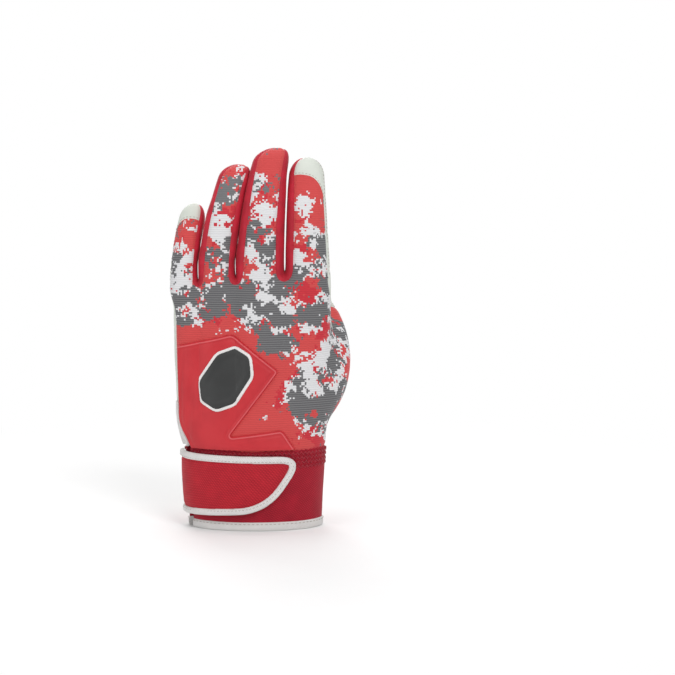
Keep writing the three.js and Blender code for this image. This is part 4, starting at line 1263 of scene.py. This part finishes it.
def inset(polygon, distance):
    """A smooth closed outline moved inwards, as even points."""
    ring = np.concatenate([polygon, polygon[:1]])
    along = arc_lengths(ring)
    polygon = sampled(ring, along, np.linspace(0, along[-1], int(along[-1]))[:-1])
    tangent = unit(np.roll(polygon, -1, axis=0) - np.roll(polygon, 1, axis=0))
    return polygon + distance * np.stack([-tangent[:, 1], tangent[:, 0]], -1)


def strap_base(arc):
    """How far the strap lies off the cuff: close to it at the sewn root, over the fastener further on."""
    return mix(STRAP_ROOT_BASE, STRAP_BASE, smooth((arc - arc_at(STRAP_ROOT_ANGLE)) / STRAP_LIFT))


def strap_corner(x, height):
    """Distance round the cuff and height of a corner of the strap, from its X."""
    angle = math.asin(x / (CUFF_HALF_WIDTH + STRAP_BASE + 1))
    return float(arc_at(math.degrees(angle))), height


def strap_outline():
    root = float(arc_at(STRAP_ROOT_ANGLE)) - STRAP_BEYOND
    slope = (STRAP_HIGH - STRAP_TIP_HIGH) / (STRAP_REACH + CUFF_HALF_WIDTH)
    corners = [(root, STRAP_LOW), strap_corner(-CUFF_HALF_WIDTH, STRAP_LOW)]
    corners.append(strap_corner(STRAP_REACH - STRAP_SLANT, STRAP_TIP_LOW))
    for x in (STRAP_REACH, -5, -20, -32, -CUFF_HALF_WIDTH):
        corners.append(strap_corner(x, STRAP_TIP_HIGH + slope * (STRAP_REACH - x)))
    corners.append((root, STRAP_HIGH))
    return rounded(corners, STRAP_CORNER, 24)


def strap_pieces():
    angles, heights = (STRAP_ROOT_ANGLE, STRAP_GRID_END), (STRAP_LOW - 1, STRAP_HIGH + 1)
    surface, normals, arc, z = cuff_grid(*angles, *heights, LAYER_STEP)
    surface = surface + normals * strap_base(arc)[..., None]
    outline = strap_outline()
    edge = polygon_distance(np.stack([arc, z], -1), outline)

    def field_top(distance):
        return STRAP_WALL - 0.35 - 0.6 * bell(distance, 1.2) + 0.3 * smooth(distance / 10)

    def tape_top(distance):
        return round_edge(distance, STRAP_WALL + 0.35, 1.1, 0.6)

    field = layer(surface, normals, edge - BINDING, field_top, 0)
    tape = layer(surface, normals, np.minimum(edge, BINDING + 0.2 - edge), tape_top, -0.1)
    line = inset(outline, BINDING - 1.1)
    line = line[line[:, 0] > arc_at(STRAP_ROOT_ANGLE) + 1]
    sewing = on_cuff(*line.T, strap_base(line[:, 0]) + STRAP_WALL + 0.25)
    tape_parts = [tape, stitches(*sewing, *STRAP_STITCH)]
    bend = [cuff_points(STRAP_BASE, degrees, STRAP_LOW) for degrees in (STRAP_ROOT_ANGLE, STRAP_FREE_ANGLE)]
    moves = ("hand", "strap_flap", bend)
    piece("strap", [field], [STRAP_RED], "cuff_red", *moves)
    piece("strap_binding", tape_parts, [TAPE_WHITE, PALE_THREAD], "binding_white", *moves)


def fastener_pieces():
    half = half_angle(FASTENER_WIDTH)
    low = (STRAP_LOW + STRAP_TIP_HIGH - FASTENER_HEIGHT) / 2
    angles = (FASTENER_ANGLE - half, FASTENER_ANGLE + half)
    surface, normals, arc, z = cuff_grid(*angles, low, low + FASTENER_HEIGHT, LAYER_STEP)
    across = (arc.max() - arc.min()) / 2 - np.abs(arc - arc.mean())
    edge = np.minimum(across, FASTENER_HEIGHT / 2 - np.abs(z - (low + FASTENER_HEIGHT / 2)))
    wave = 2 * math.pi / TUFT_PITCH
    tufts = TUFT_HEIGHT * np.sin(arc * wave) * np.sin(z * wave)
    rough = tufts * smooth(edge / 2) - 0.35 * bell(edge, 0.5)
    flat = 0 * rough
    for name, body, base, above, below in (
        ("loop", "hand", GAP, rough, flat),
        ("hook", "strap_flap", FASTENER_WALL + 2 * GAP, flat, rough),
    ):
        top, bottom = base + FASTENER_WALL + above, base - below
        outer, inner = (surface + normals * height[..., None] for height in (top, bottom))
        piece(f"{name}_patch", [shell(outer, inner)], [PILE_RED], "fastener_red", body)


def tab_pieces():
    low, high = 180 - half_angle(TAB_WIDTH), 180 + half_angle(TAB_WIDTH)
    surface, normals, arc, z = cuff_grid(low, high, TAB_FOLD, TAB_TOP, LAYER_STEP)
    edge = np.minimum(np.minimum(arc - arc.min(), arc.max() - arc), TAB_TOP - z)
    swell = 0.35 * smooth(edge / 5) - 0.5 * bell(edge, 0.9) - 0.35
    outer = surface + normals * (GAP + TAB_WALL + swell)[..., None]
    parts = [shell(outer, surface + normals * GAP)]
    left, right = arc.min() + 1.6, arc.max() - 1.6
    count = 60
    level, upright = np.linspace(left, right, count), np.linspace(TAB_FOLD + 2.6, TAB_TOP - 2.4, count)
    rows = [(level, np.full(count, height)) for height in (TAB_FOLD + 2, TAB_TOP - 1.8)]
    rows += [(np.full(count, side), upright) for side in (left, right)]
    for row in rows:
        parts.append(stitches(*on_cuff(*row, GAP + TAB_WALL - 0.2), *TAB_STITCH))
    piece("tab_patch", parts, [TAB_RED, TAB_THREAD], "cuff_red")
    surface, normals, arc, z = cuff_grid(low, high, TAB_FLOOR_CLEARANCE, TAB_FOLD + 3, FOLD_STEP)
    edge = np.minimum(np.minimum(arc - arc.min(), arc.max() - arc), z - TAB_FLOOR_CLEARANCE)
    tucked = smooth((z - TAB_FOLD + 1.2) / 2)  # its upper end goes into the sewn half
    lift = mix(HEM_PROUD + GAP, GAP + 0.2, tucked)
    thick = TAB_WALL + 0.25 * smooth(edge / 4) - 0.45 * bell(edge, 0.9) - 0.25
    thick = mix(thick, TAB_WALL - 0.9, tucked)
    inner = surface + normals * lift[..., None]
    loop = shell(inner + normals * thick[..., None], inner)
    bend = [cuff_points(HEM_PROUD + GAP + TAB_WALL, 180, TAB_FOLD + step) for step in (1.3, -1.5)]
    piece("tab_loop", [loop], [TAB_RED], "cuff_red", "hand", "pull_tab", bend)


def slit_edge(heights, degrees):
    """Points of a slit edge on the hand at heights."""
    knuckle = knuckle_points(np.array([0.0]))[0, 2]
    shares = (heights - HAND_START) / (knuckle - HAND_START)
    rows = hand_points(np.linspace(-0.9, 0.9, 361), shares[:, None])
    depths = slit_edge_y(heights, degrees)
    return np.array([sampled(row, -row[:, 1], -y) for y, row in zip(depths, rows)])


def slit_piece():
    """Pale tape round the slit above the cuff, up its back edge and down its palm edge."""
    heights = np.linspace(HAND_START + 0.5, SLIT_TOP - 0.5, 32)
    path = np.concatenate([slit_edge(heights, CUFF_FROM), slit_edge(heights[::-1], CUFF_TO)])
    normals = unit((path - np.array([0, CUFF_CENTRE_Y, 0])) * np.array([0.55, 1.0, 0]))
    tape = loft(swept(path + 0.4 * normals, normals, SLIT_TAPE_WIDTH, SLIT_TAPE_WALL, 14))
    piece("slit_binding", [tape], [TAPE_WHITE], "binding_white")


hand_pieces()
for number in range(len(FINGERS)):
    finger_pieces(number)
thumb_pieces()
pad_piece()
badge_pieces()
cuff_pieces()
hem_piece()
strap_pieces()
fastener_pieces()
tab_pieces()
slit_piece()


# Studio: a pale floor, soft light and a long lens in front of the back of the hand

def floor(reach=6):
    """Pale paper that keeps the shadow near the glove and runs out to plain white."""
    mesh = bpy.data.meshes.new("studio_floor")
    corners = [(-reach, -reach, 0), (reach, -reach, 0), (reach, reach, 0), (-reach, reach, 0)]
    mesh.from_pydata(corners, [], [(0, 1, 2, 3)])
    obj = bpy.data.objects.new("studio_floor", mesh)
    bpy.context.scene.collection.objects.link(obj)
    material = bpy.data.materials.new("studio_paper")
    material.use_nodes = True
    paper = Nodes(material.node_tree)
    shader = paper.tree.nodes["Principled BSDF"]
    spot = paper.add("TexCoord")["Object"]
    base = paper.colours(paper.noise(spot, 30.0, 3.0), (0.94, 0.94, 0.94, 1), (0.97, 0.97, 0.97, 1))
    paper.put(shader.inputs["Base Color"], base)
    paper.put(shader.inputs["Roughness"], 0.95)
    paper.put(shader.inputs["Specular IOR Level"], 0.1)
    away = paper.times(paper.shown(), paper.ramp(paper.vector("LENGTH", spot)["Value"], 0.12, 0.4))
    white = paper.add("Emission", {"Color": (1, 1, 1, 1), "Strength": 1.0})[0]
    surface = paper.add("MixShader", {0: away, 1: shader.outputs[0], 2: white})[0]
    paper.put(paper.tree.nodes["Material Output"].inputs["Surface"], surface)
    mesh.materials.append(material)


def aimed(obj, position, target):
    obj.location = position
    obj.rotation_euler = (Vector(target) - Vector(position)).to_track_quat("-Z", "Y").to_euler()
    bpy.context.scene.collection.objects.link(obj)


def light(name, position, size, power):
    lamp = bpy.data.lights.new(name, "AREA")
    lamp.shape = "DISK"
    lamp.size = size
    lamp.energy = power
    aimed(bpy.data.objects.new(name, lamp), position, (0, 0, 0.1))


floor()
light("key", (0.9, -1.6, 1.5), 1.2, 21)
light("fill", (-1.5, -1.3, 0.9), 1.4, 9)
light("top", (0.1, 0.3, 1.9), 1.4, 13)
light("back", (-0.4, 1.8, 1.3), 1.4, 16)

world = bpy.data.worlds.new("studio_air")
world.use_nodes = True
air = Nodes(world.node_tree)
background = air.tree.nodes["Background"].inputs
air.put(background["Color"], (1, 1, 1, 1))
air.put(background["Strength"], air.ramp(air.shown(), 0, 1, 0.36, 1.0))

scene = bpy.context.scene
scene.world = world
scene.view_settings.view_transform = "Standard"

lens = bpy.data.cameras.new("camera")
lens.sensor_width = 36
lens.lens = lens.sensor_width * CAMERA_DISTANCE / (PHOTO_WIDTH * PHOTO_SCALE / 1000)
camera = bpy.data.objects.new("camera", lens)
aim = Vector(place(CAMERA_AIM))
rise = math.radians(CAMERA_RISE)
aimed(camera, aim + Vector((0, -math.cos(rise), math.sin(rise))) * CAMERA_DISTANCE, aim)
scene.camera = camera
